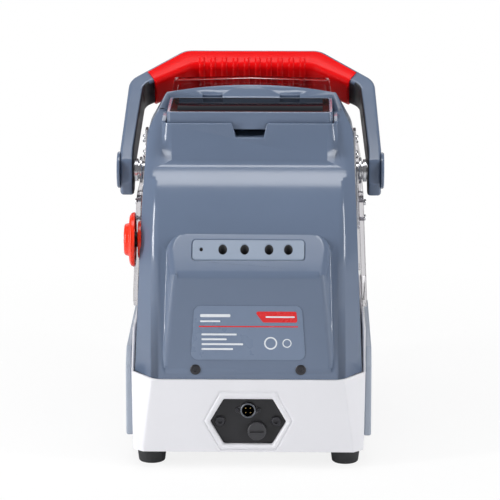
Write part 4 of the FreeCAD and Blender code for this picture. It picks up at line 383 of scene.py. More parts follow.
def piece(name, work, material, body, slot, *covered):
    made = shape_of(name, work)
    made.data.materials.append(material)
    carried(made, body, slot, *covered)


def turned(work, spot, axis, profile, steps=48):
    """Rings along an axis. Each row is a radius, a place along the axis and, if not round, a shape."""
    turn = Vector(axis).to_track_quat("Z", "Y").to_matrix()
    rings = []
    for radius, along, *kind in profile:
        count = steps if radius else 1
        ring = []
        for step in range(count):
            angle = math.tau * step / steps
            reach = ring_reach(radius, angle, *kind)
            local = Vector((reach * math.cos(angle), reach * math.sin(angle), along))
            ring.append(work.verts.new(Vector(spot) + turn @ local))
        rings.append(ring)
    for low, high in zip(rings, rings[1:]):
        for step in range(steps):
            after = (step + 1) % steps
            corners = [low[step % len(low)], low[after % len(low)],
                       high[after % len(high)], high[step % len(high)]]
            corners = list(dict.fromkeys(corners))
            if len(corners) > 2:
                work.faces.new(corners)


def ring_reach(radius, angle, kind="circle"):
    """How far a ring stands from its axis: a circle, a hexagon or a cross."""
    if kind == "hexagon":
        part = math.pi / 6
        return radius * math.cos(part) / math.cos(angle % (2 * part) - part)
    if kind == "cross":
        arm = abs((angle + math.pi / 4) % (math.pi / 2) - math.pi / 4)
        slim = 0.26
        if math.tan(arm) <= slim:
            return radius / math.cos(arm)
        return radius * slim / math.sin(arm)
    return radius


def bar(work, low, high, edge):
    """A block between two corners with rolled edges."""
    corners = [work.verts.new((x, y, z)) for x in (low[0], high[0]) for y in (low[1], high[1])
               for z in (low[2], high[2])]
    loops = ((0, 1, 3, 2), (4, 6, 7, 5), (0, 4, 5, 1), (2, 3, 7, 6), (0, 2, 6, 4), (1, 5, 7, 3))
    faces = [work.faces.new([corners[index] for index in loop]) for loop in loops]
    edges = list({side for face in faces for side in face.edges})
    bmesh.ops.bevel(work, geom=edges, offset=edge, segments=2, profile=0.5, affect="EDGES")


def sheet_shape(work, outline, near, far):
    """A flat outline, given as X and height, with its thickness in depth."""
    front = [work.verts.new((x, back(far), z)) for x, z in outline]
    rear = [work.verts.new((x, back(near), z)) for x, z in outline]
    work.faces.new(front)
    work.faces.new(rear)
    for index in range(len(outline)):
        after = (index + 1) % len(outline)
        work.faces.new((front[index], front[after], rear[after], rear[index]))


def rounded_corner(before, corner, after, radius, steps):
    """The arc that replaces one corner of an outline."""
    here = Vector(corner)
    start = (Vector(before) - here).normalized()
    end = (Vector(after) - here).normalized()
    half = start.angle(end) / 2
    middle = here + (start + end).normalized() * (radius / math.sin(half))
    first = here + start * (radius / math.tan(half)) - middle
    last = here + end * (radius / math.tan(half)) - middle
    sweep = first.angle_signed(last)
    points = []
    for step in range(steps + 1):
        turn = -sweep * step / steps
        points.append((middle.x + first.x * math.cos(turn) - first.y * math.sin(turn),
                       middle.y + first.x * math.sin(turn) + first.y * math.cos(turn)))
    return points


def rounded_outline(corners, radius, steps=6):
    """A closed outline of convex corners, each replaced by an arc."""
    points = []
    for index, corner in enumerate(corners):
        after = corners[(index + 1) % len(corners)]
        points += rounded_corner(corners[index - 1], corner, after, radius, steps)
    return points


def skinned(work, rings):
    """Faces between closed rings of corners, with the first and the last ring filled."""
    for ring, following in zip(rings, rings[1:]):
        for index in range(len(ring)):
            work.faces.new((ring[index - 1], ring[index], following[index], following[index - 1]))
    work.faces.new(rings[0])
    work.faces.new(rings[-1])


# What repeats or winds is grown by node trees.

def tree_with(name, named):
    tree = bpy.data.node_groups.new(name, "GeometryNodeTree")
    for label, kind in named:
        tree.interface.new_socket(name=label, in_out="INPUT", socket_type=kind)
    tree.interface.new_socket(name="Geometry", in_out="OUTPUT", socket_type="NodeSocketGeometry")
    return tree, tree.nodes.new("NodeGroupInput"), tree.nodes.new("NodeGroupOutput")


def joined(tree, source, target):
    tree.links.new(source, target)


def finished(tree, given, leaves, geometry):
    """The last nodes of every tree: copies made real, put in place and given their finish."""
    real = tree.nodes.new("GeometryNodeRealizeInstances")
    move = tree.nodes.new("GeometryNodeTransform")
    paint = tree.nodes.new("GeometryNodeSetMaterial")
    joined(tree, geometry, real.inputs["Geometry"])
    joined(tree, real.outputs["Geometry"], move.inputs["Geometry"])
    joined(tree, given.outputs["Turn"], move.inputs["Rotation"])
    joined(tree, given.outputs["Centre"], move.inputs["Translation"])
    joined(tree, move.outputs["Geometry"], paint.inputs["Geometry"])
    joined(tree, given.outputs["Finish"], paint.inputs["Material"])
    joined(tree, paint.outputs["Geometry"], leaves.inputs["Geometry"])


PLACING = [("Turn", "NodeSocketRotation"), ("Centre", "NodeSocketVector"),
           ("Finish", "NodeSocketMaterial")]
COPYING = [("Shape", "NodeSocketObject"), ("Count", "NodeSocketInt")]


def row_tree():
    """Copies of a shape at even steps along a line."""
    own = [("Step", "NodeSocketVector")]
    tree, given, leaves = tree_with("row_of_copies", COPYING + own + PLACING)
    line = tree.nodes.new("GeometryNodeMeshLine")
    line.mode = "OFFSET"
    shape = tree.nodes.new("GeometryNodeObjectInfo")
    copies = tree.nodes.new("GeometryNodeInstanceOnPoints")
    joined(tree, given.outputs["Count"], line.inputs["Count"])
    joined(tree, given.outputs["Step"], line.inputs["Offset"])
    joined(tree, given.outputs["Shape"], shape.inputs["Object"])
    joined(tree, line.outputs["Mesh"], copies.inputs["Points"])
    joined(tree, shape.outputs["Geometry"], copies.inputs["Instance"])
    finished(tree, given, leaves, copies.outputs["Instances"])
    return tree


def ring_tree():
    """Copies of a shape around a circle, each turned to face outwards."""
    own = [("Radius", "NodeSocketFloat")]
    tree, given, leaves = tree_with("ring_of_copies", COPYING + own + PLACING)
    circle = tree.nodes.new("GeometryNodeMeshCircle")
    shape = tree.nodes.new("GeometryNodeObjectInfo")
    copies = tree.nodes.new("GeometryNodeInstanceOnPoints")
    number = tree.nodes.new("GeometryNodeInputIndex")
    part = tree.nodes.new("ShaderNodeMath")
    part.operation = "DIVIDE"
    turn = tree.nodes.new("ShaderNodeMath")
    turn.operation = "MULTIPLY"
    turn.inputs[1].default_value = math.tau
    about = tree.nodes.new("ShaderNodeCombineXYZ")
    joined(tree, given.outputs["Count"], circle.inputs["Vertices"])
    joined(tree, given.outputs["Radius"], circle.inputs["Radius"])
    joined(tree, given.outputs["Shape"], shape.inputs["Object"])
    joined(tree, number.outputs["Index"], part.inputs[0])
    joined(tree, given.outputs["Count"], part.inputs[1])
    joined(tree, part.outputs[0], turn.inputs[0])
    joined(tree, turn.outputs[0], about.inputs["Z"])
    joined(tree, circle.outputs["Mesh"], copies.inputs["Points"])
    joined(tree, shape.outputs["Geometry"], copies.inputs["Instance"])
    joined(tree, about.outputs["Vector"], copies.inputs["Rotation"])
    finished(tree, given, leaves, copies.outputs["Instances"])
    return tree


def coil_tree():
    """A round thread wound along an axis."""
    own = [(label, "NodeSocketFloat") for label in ("Radius", "Height", "Turns", "Thickness")]
    tree, given, leaves = tree_with("wound_thread", own + PLACING)
    coil = tree.nodes.new("GeometryNodeCurveSpiral")
    coil.inputs["Resolution"].default_value = 24
    section = tree.nodes.new("GeometryNodeCurvePrimitiveCircle")
    section.inputs["Resolution"].default_value = 6
    tube = tree.nodes.new("GeometryNodeCurveToMesh")
    tube.inputs["Fill Caps"].default_value = True
    joined(tree, given.outputs["Turns"], coil.inputs["Rotations"])
    joined(tree, given.outputs["Radius"], coil.inputs["Start Radius"])
    joined(tree, given.outputs["Radius"], coil.inputs["End Radius"])
    joined(tree, given.outputs["Height"], coil.inputs["Height"])
    joined(tree, given.outputs["Thickness"], section.inputs["Radius"])
    joined(tree, coil.outputs["Curve"], tube.inputs["Curve"])
    joined(tree, section.outputs["Curve"], tube.inputs["Profile Curve"])
    finished(tree, given, leaves, tube.outputs["Mesh"])
    return tree


ROW = row_tree()
RING = ring_tree()
COIL = coil_tree()
UPRIGHT = (0.0, 0.0, 0.0)
ALONG_Y = (-math.pi / 2, 0.0, 0.0)
ALONG_X = (0.0, math.pi / 2, 0.0)


def grown(name, tree, body, slot, **values):
    """A piece from a node tree, with its sizes in millimetres."""
    made = linked(name, bpy.data.meshes.new(name))
    modifier = made.modifiers.new("grown", "NODES")
    modifier.node_group = tree
    for item in tree.interface.items_tree:
        if item.item_type != "SOCKET" or item.in_out != "INPUT":
            continue
        value = values[item.name.lower()]
        if item.name in ("Radius", "Height", "Thickness"):
            value = value * MM
        if item.name in ("Centre", "Step"):
            value = tuple(part * MM for part in value)
        modifier[item.identifier] = value
    plain_mesh(made)
    made.data.shade_smooth()
    made.data.set_sharp_from_angle(angle=math.radians(GROWN_SHARP_ANGLE))
    carried(made, body, slot)


def repeated(name, tree, work, body, slot, **values):
    """A piece made of copies of one small shape, which is removed again."""
    shape = shape_of(name + "_shape", work)
    grown(name, tree, body, slot, shape=shape, **values)
    bpy.data.objects.remove(shape)


# Mouldings and castings

softened("rear_cover", case_grey, "grey_case", 5.0, 4, share=cover_corners)
softened("base_shell", base_white, "white_case", 1.2, 3, angle=22.0, share=base_corners)
softened("side_panels", panel_grey, "grey_case", 1.6, 3)
softened("tool_rack", rack_grey, "rack", 0.4)
softened("power_panel", panel_black, "black_plastic", 0.4)
softened("fuse_cap", fitting_black, "black_plastic", 0.25)
softened("feet", rubber_and_shade_black, "black_rubber", 0.8)
softened("screen_frame", case_grey, "grey_case", 0.8, 3, share=outer_corners)
softened("screen_glass", screen_black, "dark_glass", 0.4)
softened("estop_head", button_red, "red_button", 0.5)
softened("clear_cover", acrylic, "clear_acrylic", 0.5)
arms = softened("handle_frame", case_grey, "grey_case", 2.6, 3, share=arm_corners)
for node, material, slot, width in (
    ("power_socket", fitting_black, "black_plastic", 0.25),
    ("estop_collar", button_red, "red_button", 0.4),
    ("hinge_brackets", bright_steel, "bright_metal", 0.4),
    ("hinge_arms", bright_steel, "bright_metal", 0.4),
    ("cover_grip", grip_red, "red_grip", 0.8),
    ("chip_drawer", base_white, "white_case", 0.5),
    ("column", cast_aluminium, "aluminium", 0.5),
    ("machine_bed", cast_aluminium, "aluminium", 0.5),
    ("z_carriage", cast_aluminium, "aluminium", 0.5),
    ("y_carriage", cast_aluminium, "aluminium", 0.5),
    ("x_carriage", cast_aluminium, "aluminium", 0.5),
    ("clamp_base", bright_steel, "steel", 0.4),
    ("clamp_jaw", bright_steel, "steel", 0.3),
    ("z_motor", motor_black, "motor_black", 0.8),
    ("y_motor", motor_black, "motor_black", 0.8),
    ("x_motor", motor_black, "motor_black", 0.8),
    ("spindle_motor", motor_black, "motor_black", 0.8),
    ("power_module", module_grey, "module_case", 0.6),
):
    softened(node, material, slot, width, share=outer_corners)


GRIP_LEVEL = 285.0


def inner_faces_dark(made, material):
    """The faces of the handle's arms that look at each other are black."""
    made.data.materials.append(material)
    for face in made.data.polygons:
        inward = -face.normal.x if face.center.x > 0 else face.normal.x
        if inward > 0.4 and face.center.z < GRIP_LEVEL * MM:
            face.material_index = 1


inner_faces_dark(arms, arm_black)

# Screws

SHANK_RADIUS = 1.62
SHANK_LENGTH = 4.0
SEAT_DEPTH = 0.3
TO_REAR = (0, 1, 0)
INLET_HEIGHT = 47.2


def screw_head(work, spot, axis, radius, height, recess, kind):
    """A screw with a rounded head and a driver's recess; spot is where the head seats."""
    turned(work, spot, axis, [
        (0, -SHANK_LENGTH), (SHANK_RADIUS, -SHANK_LENGTH), (SHANK_RADIUS, -SEAT_DEPTH),
        (radius, -SEAT_DEPTH), (radius, height * 0.45), (radius * 0.93, height * 0.8),
        (radius * 0.8, height), (recess, height, kind), (recess * 0.94, height * 0.35, kind),
        (0, height * 0.3)], 72)


black_heads = bmesh.new()
bracket_heads = bmesh.new()
arm_heads = bmesh.new()
for side in (1, -1):
    outward = (side, 0, 0)
    screw_head(black_heads, (42 * side, back(1), 81.5), TO_REAR, 4.2, 0.8, 1.9, "hexagon")
    screw_head(black_heads, (22.4 * side, back(5), 38), TO_REAR, 4.1, 2.4, 2.0, "hexagon")
    screw_head(black_heads, (8.4 * side, back(3.8), INLET_HEIGHT), TO_REAR, 1.9, 0.8, 1.1, "cross")
    for height in (233, 246):
        screw_head(bracket_heads, (86.4 * side, PIVOT.y, height), outward, 3.4, 2.1, 2.0, "cross")
    for height in (180, 193):
        screw_head(arm_heads, (93.7 * side, PIVOT.y, height), outward, 2.6, 1.5, 1.5, "hexagon")
piece("case_screw_heads", black_heads, screw_black, "case", "black_screws", "case_screws")
piece("bracket_screw_heads", bracket_heads, bright_steel, "case", "bright_metal")
piece("arm_screw_heads", arm_heads, bright_steel, "cover", "bright_metal", "arm_screws")

# Rating plate with a plain design

PLATE = ((42.6, 134.0), (-42.6, 134.0), (-45.8, 89.8), (45.8, 89.8))
RED_TAB = ((-5, 129.5), (-38.4, 129.5), (-39.2, 120.5), (-12, 120.5))
RED_LINE = ((39, 117.6), (-39.6, 117.6), (-39.7, 116.6), (39, 116.6))
PRINT_NEAR = 0.5
PRINT_FAR = 0.6
PRINT_THICK = 0.1
plate = bmesh.new()
sheet_shape(plate, rounded_outline(PLATE, 5.5), 0.56, 1.0)
piece("rating_plate_film", plate, plate_film, "case", "plate_film", "rating_plate")
red_print = bmesh.new()
sheet_shape(red_print, rounded_outline(RED_TAB, 1.5), PRINT_NEAR, PRINT_FAR)
sheet_shape(red_print, RED_LINE, PRINT_NEAR, PRINT_FAR)
piece("plate_red_bands", red_print, print_red, "case", "red_button")

# Left end, right end, height and thickness of each bar.
PALE_BARS = ((38, 14, 126.0, 2.4), (38, 22, 121.4, 1.3), (37, 9, 110.6, 1.5), (37, 17, 106.6, 1.5),
             (37, 4, 102.6, 1.5), (37, 12, 98.6, 1.5), (-14, -37, 125.0, 1.2))
pale_print = bmesh.new()
for left, right, height, thick in PALE_BARS:
    corners = ((left, height + thick / 2), (right, height + thick / 2), (right, height - thick / 2),
               (left, height - thick / 2))
    sheet_shape(pale_print, rounded_outline(corners, thick * 0.3, 3), PRINT_NEAR - 0.04, PRINT_FAR)
for place, reach in ((-18, 5.2), (-31, 3.6)):
    inner = reach * 0.78
    turned(pale_print, (place, back(PRINT_FAR), 103.5), TO_REAR, [
        (reach, 0), (reach, PRINT_THICK), (inner, PRINT_THICK), (inner, 0), (reach, 0)])
piece("plate_pale_bars", pale_print, print_and_highlight_pale, "case", "plate_film")

# The hump's face runs on down to the column

apron = bmesh.new()
bar(apron, (-66.0, back(3.0), 77.7), (66.0, back(1.02), 84.0), 0.05)
piece("hump_apron", apron, case_grey, "case", "grey_case")

# Tool holes: painted shade, as dark sleeves lining the holes, cut off along the rack's slope

RACK_TOP = max(vertex.co.y + vertex.co.z for vertex in nodes["tool_rack"].data.vertices) / MM
TOOL_HOLES = ((20.4, 3.4), (3.0, 3.4), (-16.4, 3.4), (-31.8, 3.4), (37.5, 1.31))
HOLE_DEPTH = 17.5
HOLE_FLOOR = 160.3
SLEEVE_WALL = 0.2
SLEEVE_DROP = 0.5
SLEEVE_FLOOR = 1.0
SLEEVE_STEPS = 40


def sleeve_ring(work, across, reach, level=None):
    """A ring of a sleeve at a level, or just below the rack's sloping face where none is given."""
    ring = []
    for step in range(SLEEVE_STEPS):
        angle = step * math.tau / SLEEVE_STEPS
        y = back(HOLE_DEPTH) + reach * math.sin(angle)
        z = RACK_TOP - SLEEVE_DROP - y if level is None else level
        ring.append(work.verts.new((across + reach * math.cos(angle), y, z)))
    return ring


# The black lining darkens the holes' insides where shade falls: painted shade.
hole_shade_liners = bmesh.new()
for across, radius in TOOL_HOLES:
    inner = radius - SLEEVE_WALL
    skinned(hole_shade_liners, [
        sleeve_ring(hole_shade_liners, across, radius, HOLE_FLOOR),
        sleeve_ring(hole_shade_liners, across, radius),
        sleeve_ring(hole_shade_liners, across, inner),
        sleeve_ring(hole_shade_liners, across, inner, HOLE_FLOOR + SLEEVE_FLOOR)])
piece("tool_hole_sleeves", hole_shade_liners, rubber_and_shade_black, "case", "black_rubber")

# Power panel

# Half width, half flat, middle's height and half height of each hexagon.
PANEL_HEXAGON = (30.3, 19.5, 38.0, 18.4)
MOUTH_HEXAGON = (36.3, 23.0, 39.2, 24.9)

# The lip's section: share of the way from the panel to the mouth, and depth.
LIP = ((0.03, 4.9), (0.05, 2.6), (0.1, 1.4), (0.2, 0.6), (0.35, 0.18), (0.52, 0.08), (0.66, 0.24),
       (0.78, 0.7), (0.88, 1.5), (0.94, 4.9))
LIP_ROUND = 2.0
LIP_ROUND_GROWTH = 1.5


def hexagon_between(share):
    """A hexagon between the power panel's edge and the mouth of its recess."""
    pairs = zip(PANEL_HEXAGON, MOUTH_HEXAGON)
    half, flat, middle, rise = (near + (far - near) * share for near, far in pairs)
    return ((half, middle), (flat, middle + rise), (-flat, middle + rise), (-half, middle),
            (-flat, middle - rise), (flat, middle - rise))


lip = bmesh.new()
lip_rings = []
for share, depth in LIP:
    outline = rounded_outline(hexagon_between(share), LIP_ROUND + LIP_ROUND_GROWTH * share)
    lip_rings.append([lip.verts.new((x, back(depth), z)) for x, z in outline])
for ring, following in zip(lip_rings, lip_rings[1:] + lip_rings[:1]):
    for index in range(len(ring)):
        lip.faces.new((ring[index - 1], ring[index], following[index], following[index - 1]))
piece("bezel_lip", lip, base_white, "case", "white_case")

PIN_PLACE = 1.9
pins = bmesh.new()
for x in (PIN_PLACE, -PIN_PLACE):
    for z in (PIN_PLACE, -PIN_PLACE):
        turned(pins, (x, back(6), INLET_HEIGHT + z), TO_REAR, [
            (0, 0), (0.68, 0), (0.68, 2.1), (0.3, 2.6), (0, 2.6)], 20)
piece("inlet_pins", pins, brass, "case", "bright_metal")
grown("inlet_thread", COIL, "case", "black_plastic", radius=6.05, height=1.4, turns=2.5, thickness=0.22,
      turn=ALONG_Y, centre=(0, back(3.7), INLET_HEIGHT), finish=screw_black)
rim = bmesh.new()
turned(rim, (0, back(2.3), INLET_HEIGHT), TO_REAR, [
    (5.05, -1.0), (5.05, 0.1), (5.3, 0.3), (5.8, 0.3), (6.15, 0.0), (6.15, -1.0), (5.05, -1.0)], 64)
piece("inlet_rim", rim, module_grey, "case", "bright_metal")
knurl = bmesh.new()
bar(knurl, (-0.25, -0.45, 0), (0.3, 0.45, 2.6), 0.12)
repeated("fuse_cap_knurl", RING, knurl, "fuse", "black_plastic", count=26, radius=7.35, turn=ALONG_Y,
         centre=(-7, back(4.4), 30.2), finish=fitting_black)

# Emergency stop

ESTOP = (0, back(52), 176)
ARROW_CIRCLE = 8.8
ARROW_STEPS = 7
TAIL_STEPS = 5
TAIL_HALF = 0.9
HEAD_HALF = 1.7
skirt = bmesh.new()
turned(skirt, ESTOP, (1, 0, 0), [
    (17.5, 91.6), (21.4, 91.6), (22.0, 92.2), (22.0, 93.4), (17.5, 93.4), (17.5, 91.6)], 72)
piece("estop_skirt", skirt, button_red, "estop_knob", "red_button")
# The pale disc on the button's end is a painted highlight, where the dome's end catches the light.
disc = bmesh.new()
turned(disc, ESTOP, (1, 0, 0), [
    (0, 100.0), (5.4, 100.0), (5.4, 100.8), (5.0, 101.1), (0, 101.2)], 48)
piece("estop_disc", disc, print_and_highlight_pale, "estop_knob", "red_button")
arrows = bmesh.new()
for third in range(3):
    centre = math.tau * third / 3
    for step in range(ARROW_STEPS):
        angle = centre + math.radians(9.0 * step)
        wide = TAIL_HALF if step < TAIL_STEPS else HEAD_HALF - 0.8 * (step - TAIL_STEPS)
        y = ESTOP[1] + ARROW_CIRCLE * math.cos(angle)
        z = ESTOP[2] + ARROW_CIRCLE * math.sin(angle)
        bar(arrows, (100.3, y - wide, z - wide), (100.95, y + wide, z + wide), 0.2)
piece("estop_arrows", arrows, print_and_highlight_pale, "estop_knob", "red_button")

# Screen

display = bmesh.new()
bar(display, (-59, back(135), 276.2), (59, back(81), 276.54), 0.05)
piece("display_area", display, display_black, "screen", "dark_glass")

dock_walls = bmesh.new()
for side in (1, -1):
    low, high = sorted((67.8 * side, 71.2 * side))
    bar(dock_walls, (low, back(141), 258), (high, back(76), 269), 0.6)
piece("dock_side_walls", dock_walls, case_grey, "case", "grey_case")

POCKET_HALF = 8.3
pocket_lips = bmesh.new()
for middle in (32, -32):
    bar(pocket_lips, (middle - POCKET_HALF, back(149.6), 275.9),
        (middle + POCKET_HALF, back(147.2), 277.7), 0.3)
piece("hinge_pocket_lips", pocket_lips, case_grey, "case", "grey_case")

# Carrying handle

GRIP_OUTER = ((87.7, 96.87), (56.19, 121.0))
GRIP_INNER = ((80.0, 84.94), (48.93, 103.5))
GRIP_BEND = 16.0
GRIP_FACE = 15.9
GRIP_SWELL = 0.35
FINGER_ROUND = 6.0
RIM_ROUND = 1.2
RIB_PITCH = 9.4
RIB_COUNT = 10
RIB_HALF = 2.5
RIB_HEIGHT = 1.0
RIB_END_HEIGHT = 0.02
RIB_SUNK = 0.1


def grip_edge(end, bend):
    """One long edge of the grip from end to end, with both bends as arcs."""
    far_bend = (-bend[0], bend[1])
    far_end = (-end[0], end[1])
    points = [end] + rounded_corner(end, bend, far_bend, GRIP_BEND, 8)
    return points + rounded_corner(bend, far_bend, far_end, GRIP_BEND, 8) + [far_end]


def finger_side():
    """The section from the fingers' side to the broad face: place from the inner edge, and height."""
    high = GRIP_FACE - GRIP_SWELL
    turns = [math.pi / 2 * step / 8 for step in range(9)]
    return [(FINGER_ROUND * (1 - math.cos(turn)), high - FINGER_ROUND * (1 - math.sin(turn)))
            for turn in turns]


def grip_section(width):
    """Half of a closed section across the grip; the other half mirrors it."""
    high = GRIP_FACE - GRIP_SWELL
    turns = [math.pi / 2 * step / 4 for step in range(5)]
    swell = [(width * 0.5, GRIP_FACE - 0.03), (width * 0.62, GRIP_FACE),
             (width * 0.76, GRIP_FACE - 0.1)]
    rim = [(width - RIM_ROUND * (1 - math.sin(turn)), high - RIM_ROUND * (1 - math.cos(turn)))
           for turn in turns]
    return finger_side() + swell + rim


grip = bmesh.new()
grip_rings = []
for outer, inner in zip(grip_edge(*GRIP_OUTER), grip_edge(*GRIP_INNER)):
    start = Vector(inner)
    across = Vector(outer) - start
    half = grip_section(across.length)
    section = half + [(place, -height) for place, height in reversed(half)]
    ring = []
    for place, height in section:
        spot = start + across.normalized() * place
        ring.append(grip.verts.new(on_handle(spot.x, spot.y, height)))
    grip_rings.append(ring)
skinned(grip, grip_rings)
piece("grip_sleeve", grip, grip_red, "handle", "red_grip", "handle_grip")

rib = bmesh.new()
rib_start = [(0.0, -9.0), (0.0, -8.0), (0.0, 0.0), (0.0, 6.0)]
rib_path = rib_start + finger_side() + [(8.5, 15.75), (9.5, 15.8)]
rib_rings = []
for index, (place, height) in enumerate(rib_path):
    before = Vector(rib_path[max(index - 1, 0)])
    after = Vector(rib_path[min(index + 1, len(rib_path) - 1)])
    along = (after - before).normalized()
    outward = Vector((-along.y, along.x))
    peak = RIB_END_HEIGHT if index in (0, len(rib_path) - 1) else RIB_HEIGHT
    ring = []
    for step in range(9):
        turn = math.pi * step / 8
        rise = peak * math.sin(turn) - RIB_SUNK
        reach = GRIP_INNER[1][1] + place + outward.x * rise
        spot = on_handle(RIB_HALF * math.cos(turn), reach, height + outward.y * rise)
        ring.append(rib.verts.new(spot))
    rib_rings.append(ring)
skinned(rib, rib_rings)
repeated("grip_ribs", ROW, rib, "handle", "red_grip", count=RIB_COUNT, step=(RIB_PITCH, 0, 0),
         turn=UPRIGHT, centre=(-RIB_PITCH * (RIB_COUNT - 1) / 2, 0, 0), finish=grip_red)

caps = bmesh.new()
for side in (1, -1):
    turned(caps, (107.4 * side, PIVOT.y, PIVOT.z), (side, 0, 0), [
        (0, 0), (15, 0), (15, 1.5), (14.1, 2.35), (11.6, 2.4), (11.2, 1.8),
        (10.4, 1.8), (10.0, 2.3), (4.2, 2.4), (3.9, 1.7, "hexagon"), (0, 1.6)], 72)
piece("pivot_cap_discs", caps, case_grey, "handle", "grey_case", "pivot_caps")

WASHER_BORE = 7.4
WASHER_EDGE = 0.4
washers = bmesh.new()
for side in (1, -1):
    for reach, near, far in ((10.9, 89.2, 91.2), (9.4, 92.4, 95.4)):
        turned(washers, PIVOT, (side, 0, 0), [
            (WASHER_BORE, near), (reach - WASHER_EDGE, near), (reach, near + WASHER_EDGE),
            (reach, far - WASHER_EDGE), (reach - WASHER_EDGE, far), (WASHER_BORE, far),
            (WASHER_BORE, near)], 56)
piece("hinge_washers", washers, bright_steel, "case", "bright_metal")

# Slides' lead screws and the clamp's knob. Shares are of a lead screw's radius.

CORE_SHARE = 0.84
END_SHARE = 0.72
THREAD_SHARE = 0.155
END_TAPER = 0.6
THREAD_MARGIN = 2


def lead_screw(node, body, start, end, radius, pitch, axis, turn):
    """A lead screw: a core with a wound thread on it."""
    first = Vector(start)
    length = (Vector(end) - first).length
    core = bmesh.new()
    turned(core, start, axis, [
        (0, 0), (radius * END_SHARE, 0), (radius * CORE_SHARE, END_TAPER),
        (radius * CORE_SHARE, length - END_TAPER), (radius * END_SHARE, length), (0, length)], 32)
    piece(node + "_core", core, ground_steel, body, "steel", node)
    wound = length - THREAD_MARGIN
    grown(node + "_thread", COIL, body, "steel", radius=radius * CORE_SHARE, height=wound,
          turns=wound / pitch, thickness=radius * THREAD_SHARE, turn=turn,
          centre=first + Vector(axis), finish=ground_steel)


lead_screw("z_lead_screw", "z_screw", (0, 47, 138.3), (0, 47, 216), 4.0, 4.0, (0, 0, 1), UPRIGHT)
lead_screw("y_lead_screw", "y_screw", (0, -97, 80), (0, 68.7, 80), 4.0, 5.0, (0, 1, 0), ALONG_Y)
lead_screw("x_lead_screw", "x_screw", (-62, -7, 97), (61.7, -7, 97), 3.5, 4.0, (1, 0, 0), ALONG_X)
ridge = bmesh.new()
bar(ridge, (-0.3, -0.6, 0), (0.25, 0.6, 8.0), 0.2)
repeated("clamp_knob_ridges", RING, ridge, "clamp_screw", "black_plastic", count=20, radius=8.75,
         turn=ALONG_Y, centre=(0, -38.9, 121), finish=panel_black)

# Boards and lamp

fin = bmesh.new()
bar(fin, (-0.5, -2.4, -13), (0.5, 2.4, 13), 0.15)
repeated("cooler_fins", ROW, fin, "case", "aluminium", count=10, step=(2.8, 0, 0), turn=UPRIGHT,
         centre=(-12.6, back(41.9), 154), finish=cast_aluminium)

# Place across, height, half width and half height of each chip.
CHIPS = ((-30, 182, 7, 5), (-10, 186, 5, 3), (26, 180, 9, 6), (-30, 160, 5, 8), (30, 152, 5, 5),
         (-28, 128, 9, 6), (4, 124, 6, 6), (28, 128, 6, 9))
chips = bmesh.new()
for x, z, wide, high in CHIPS:
    bar(chips, (x - wide, back(44.4), z - high), (x + wide, back(42.2), z + high), 0.3)
piece("board_chips", chips, chip_black, "case", "board")
lens_dome = bmesh.new()
turned(lens_dome, (0, 0, 0), (0, 0, -1), [
    (0, -0.6), (1.5, -0.6), (1.5, 0.2), (1.0, 0.8), (0, 1.0)], 20)
repeated("lamp_domes", ROW, lens_dome, "case", "lamp_lens", count=9, step=(8, 0, 0), turn=UPRIGHT,
         centre=(-32, -30, 200.6), finish=lamp_white)

# Camera, light and floor

VIEW_TURN = math.radians(1.0)
VIEW_DROP = math.radians(13.0)
VIEW_TARGET = Vector((-1.58, 125.0, 179.7)) * MM
VIEW_DISTANCE = 2.5
forward = Vector((math.sin(VIEW_TURN) * math.cos(VIEW_DROP), -math.cos(VIEW_TURN) * math.cos(VIEW_DROP),
                  -math.sin(VIEW_DROP)))
lens = bpy.data.cameras.new("camera")
lens.sensor_width = 36.0
lens.lens = 227.9
camera = linked("camera", lens)
camera.location = VIEW_TARGET - forward * VIEW_DISTANCE
camera.rotation_euler = forward.to_track_quat("-Z", "Y").to_euler()
scene.camera = camera


def soft_box(name, place, aim, wide, high, power):
    lamp = bpy.data.lights.new(name, "AREA")
    lamp.shape = "RECTANGLE"
    lamp.size = wide
    lamp.size_y = high
    lamp.energy = power
    made = linked(name, lamp)
    made.location = place
    made.rotation_euler = (Vector(aim) - Vector(place)).to_track_quat("-Z", "Y").to_euler()


soft_box("overhead", (0.0, 0.15, 1.6), (0.0, 0.0, 0.15), 1.1, 0.5, 11.0)
soft_box("left_strip", (1.25, 0.62, 0.45), (0.0, 0.1, 0.17), 0.16, 1.3, 18.0)
soft_box("right_strip", (-1.25, 0.62, 0.45), (0.0, 0.1, 0.17), 0.16, 1.3, 11.0)
soft_box("front_fill", (0.3, -1.4, 1.0), (0.0, 0.0, 0.15), 1.2, 1.0, 5.0)

WORLD_LEVEL = 0.22
FLOOR_SHARE = 0.85
FADE_START = 0.2
FADE_END = 0.6


def seen_directly(tree):
    """One where the camera looks at the backdrop, straight or through a clear piece."""
    path = tree.nodes.new("ShaderNodeLightPath")
    both = tree.nodes.new("ShaderNodeMath")
    both.operation = "MAXIMUM"
    tree.links.new(path.outputs["Is Camera Ray"], both.inputs[0])
    tree.links.new(path.outputs["Is Transmission Ray"], both.inputs[1])
    return both


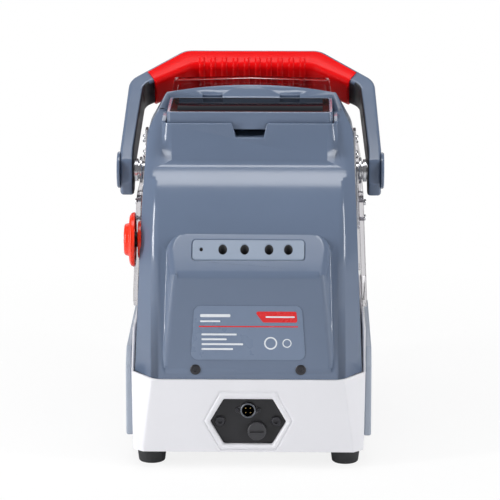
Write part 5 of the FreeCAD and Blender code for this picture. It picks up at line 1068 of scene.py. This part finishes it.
world = bpy.data.worlds.new("studio")
scene.world = world
world.use_nodes = True
tree = world.node_tree
lit = tree.nodes["Background"]
lit.inputs["Color"].default_value = (1, 1, 1, 1)
lit.inputs["Strength"].default_value = WORLD_LEVEL
seen = tree.nodes.new("ShaderNodeBackground")
seen.inputs["Color"].default_value = (1, 1, 1, 1)
seen.inputs["Strength"].default_value = 1.0
choice = tree.nodes.new("ShaderNodeMixShader")
direct = seen_directly(tree)
tree.links.new(direct.outputs[0], choice.inputs["Fac"])
tree.links.new(lit.outputs[0], choice.inputs[1])
tree.links.new(seen.outputs[0], choice.inputs[2])
tree.links.new(choice.outputs[0], tree.nodes["World Output"].inputs["Surface"])

FLOOR_REACH = 6.0
FLOOR_CORNERS = ((-1, -1), (1, -1), (1, 1), (-1, 1))
floor_mesh = bpy.data.meshes.new("floor")
corners = [(x * FLOOR_REACH, y * FLOOR_REACH, 0) for x, y in FLOOR_CORNERS]
floor_mesh.from_pydata(corners, [], [(0, 1, 2, 3)])
floor = linked("floor", floor_mesh)
paper = bpy.data.materials.new("floor_paper")
paper.use_nodes = True
tree = paper.node_tree
matt = tree.nodes["Principled BSDF"]
matt.inputs["Base Color"].default_value = (0.9, 0.9, 0.9, 1)
matt.inputs["Roughness"].default_value = 0.9
glow = tree.nodes.new("ShaderNodeEmission")
share = tree.nodes.new("ShaderNodeMath")
share.operation = "MULTIPLY"
where = tree.nodes.new("ShaderNodeTexCoord")
away = tree.nodes.new("ShaderNodeVectorMath")
away.operation = "LENGTH"
fade = tree.nodes.new("ShaderNodeMapRange")
fade.inputs["From Min"].default_value = FADE_START
fade.inputs["From Max"].default_value = FADE_END
fade.inputs["To Min"].default_value = FLOOR_SHARE
tree.links.new(where.outputs["Object"], away.inputs[0])
tree.links.new(away.outputs["Value"], fade.inputs["Value"])
tree.links.new(fade.outputs["Result"], share.inputs[1])
direct = seen_directly(tree)
tree.links.new(direct.outputs[0], share.inputs[0])
choice = tree.nodes.new("ShaderNodeMixShader")
tree.links.new(share.outputs[0], choice.inputs["Fac"])
tree.links.new(matt.outputs[0], choice.inputs[1])
tree.links.new(glow.outputs[0], choice.inputs[2])
tree.links.new(choice.outputs[0], tree.nodes["Material Output"].inputs["Surface"])
floor_mesh.materials.append(paper)
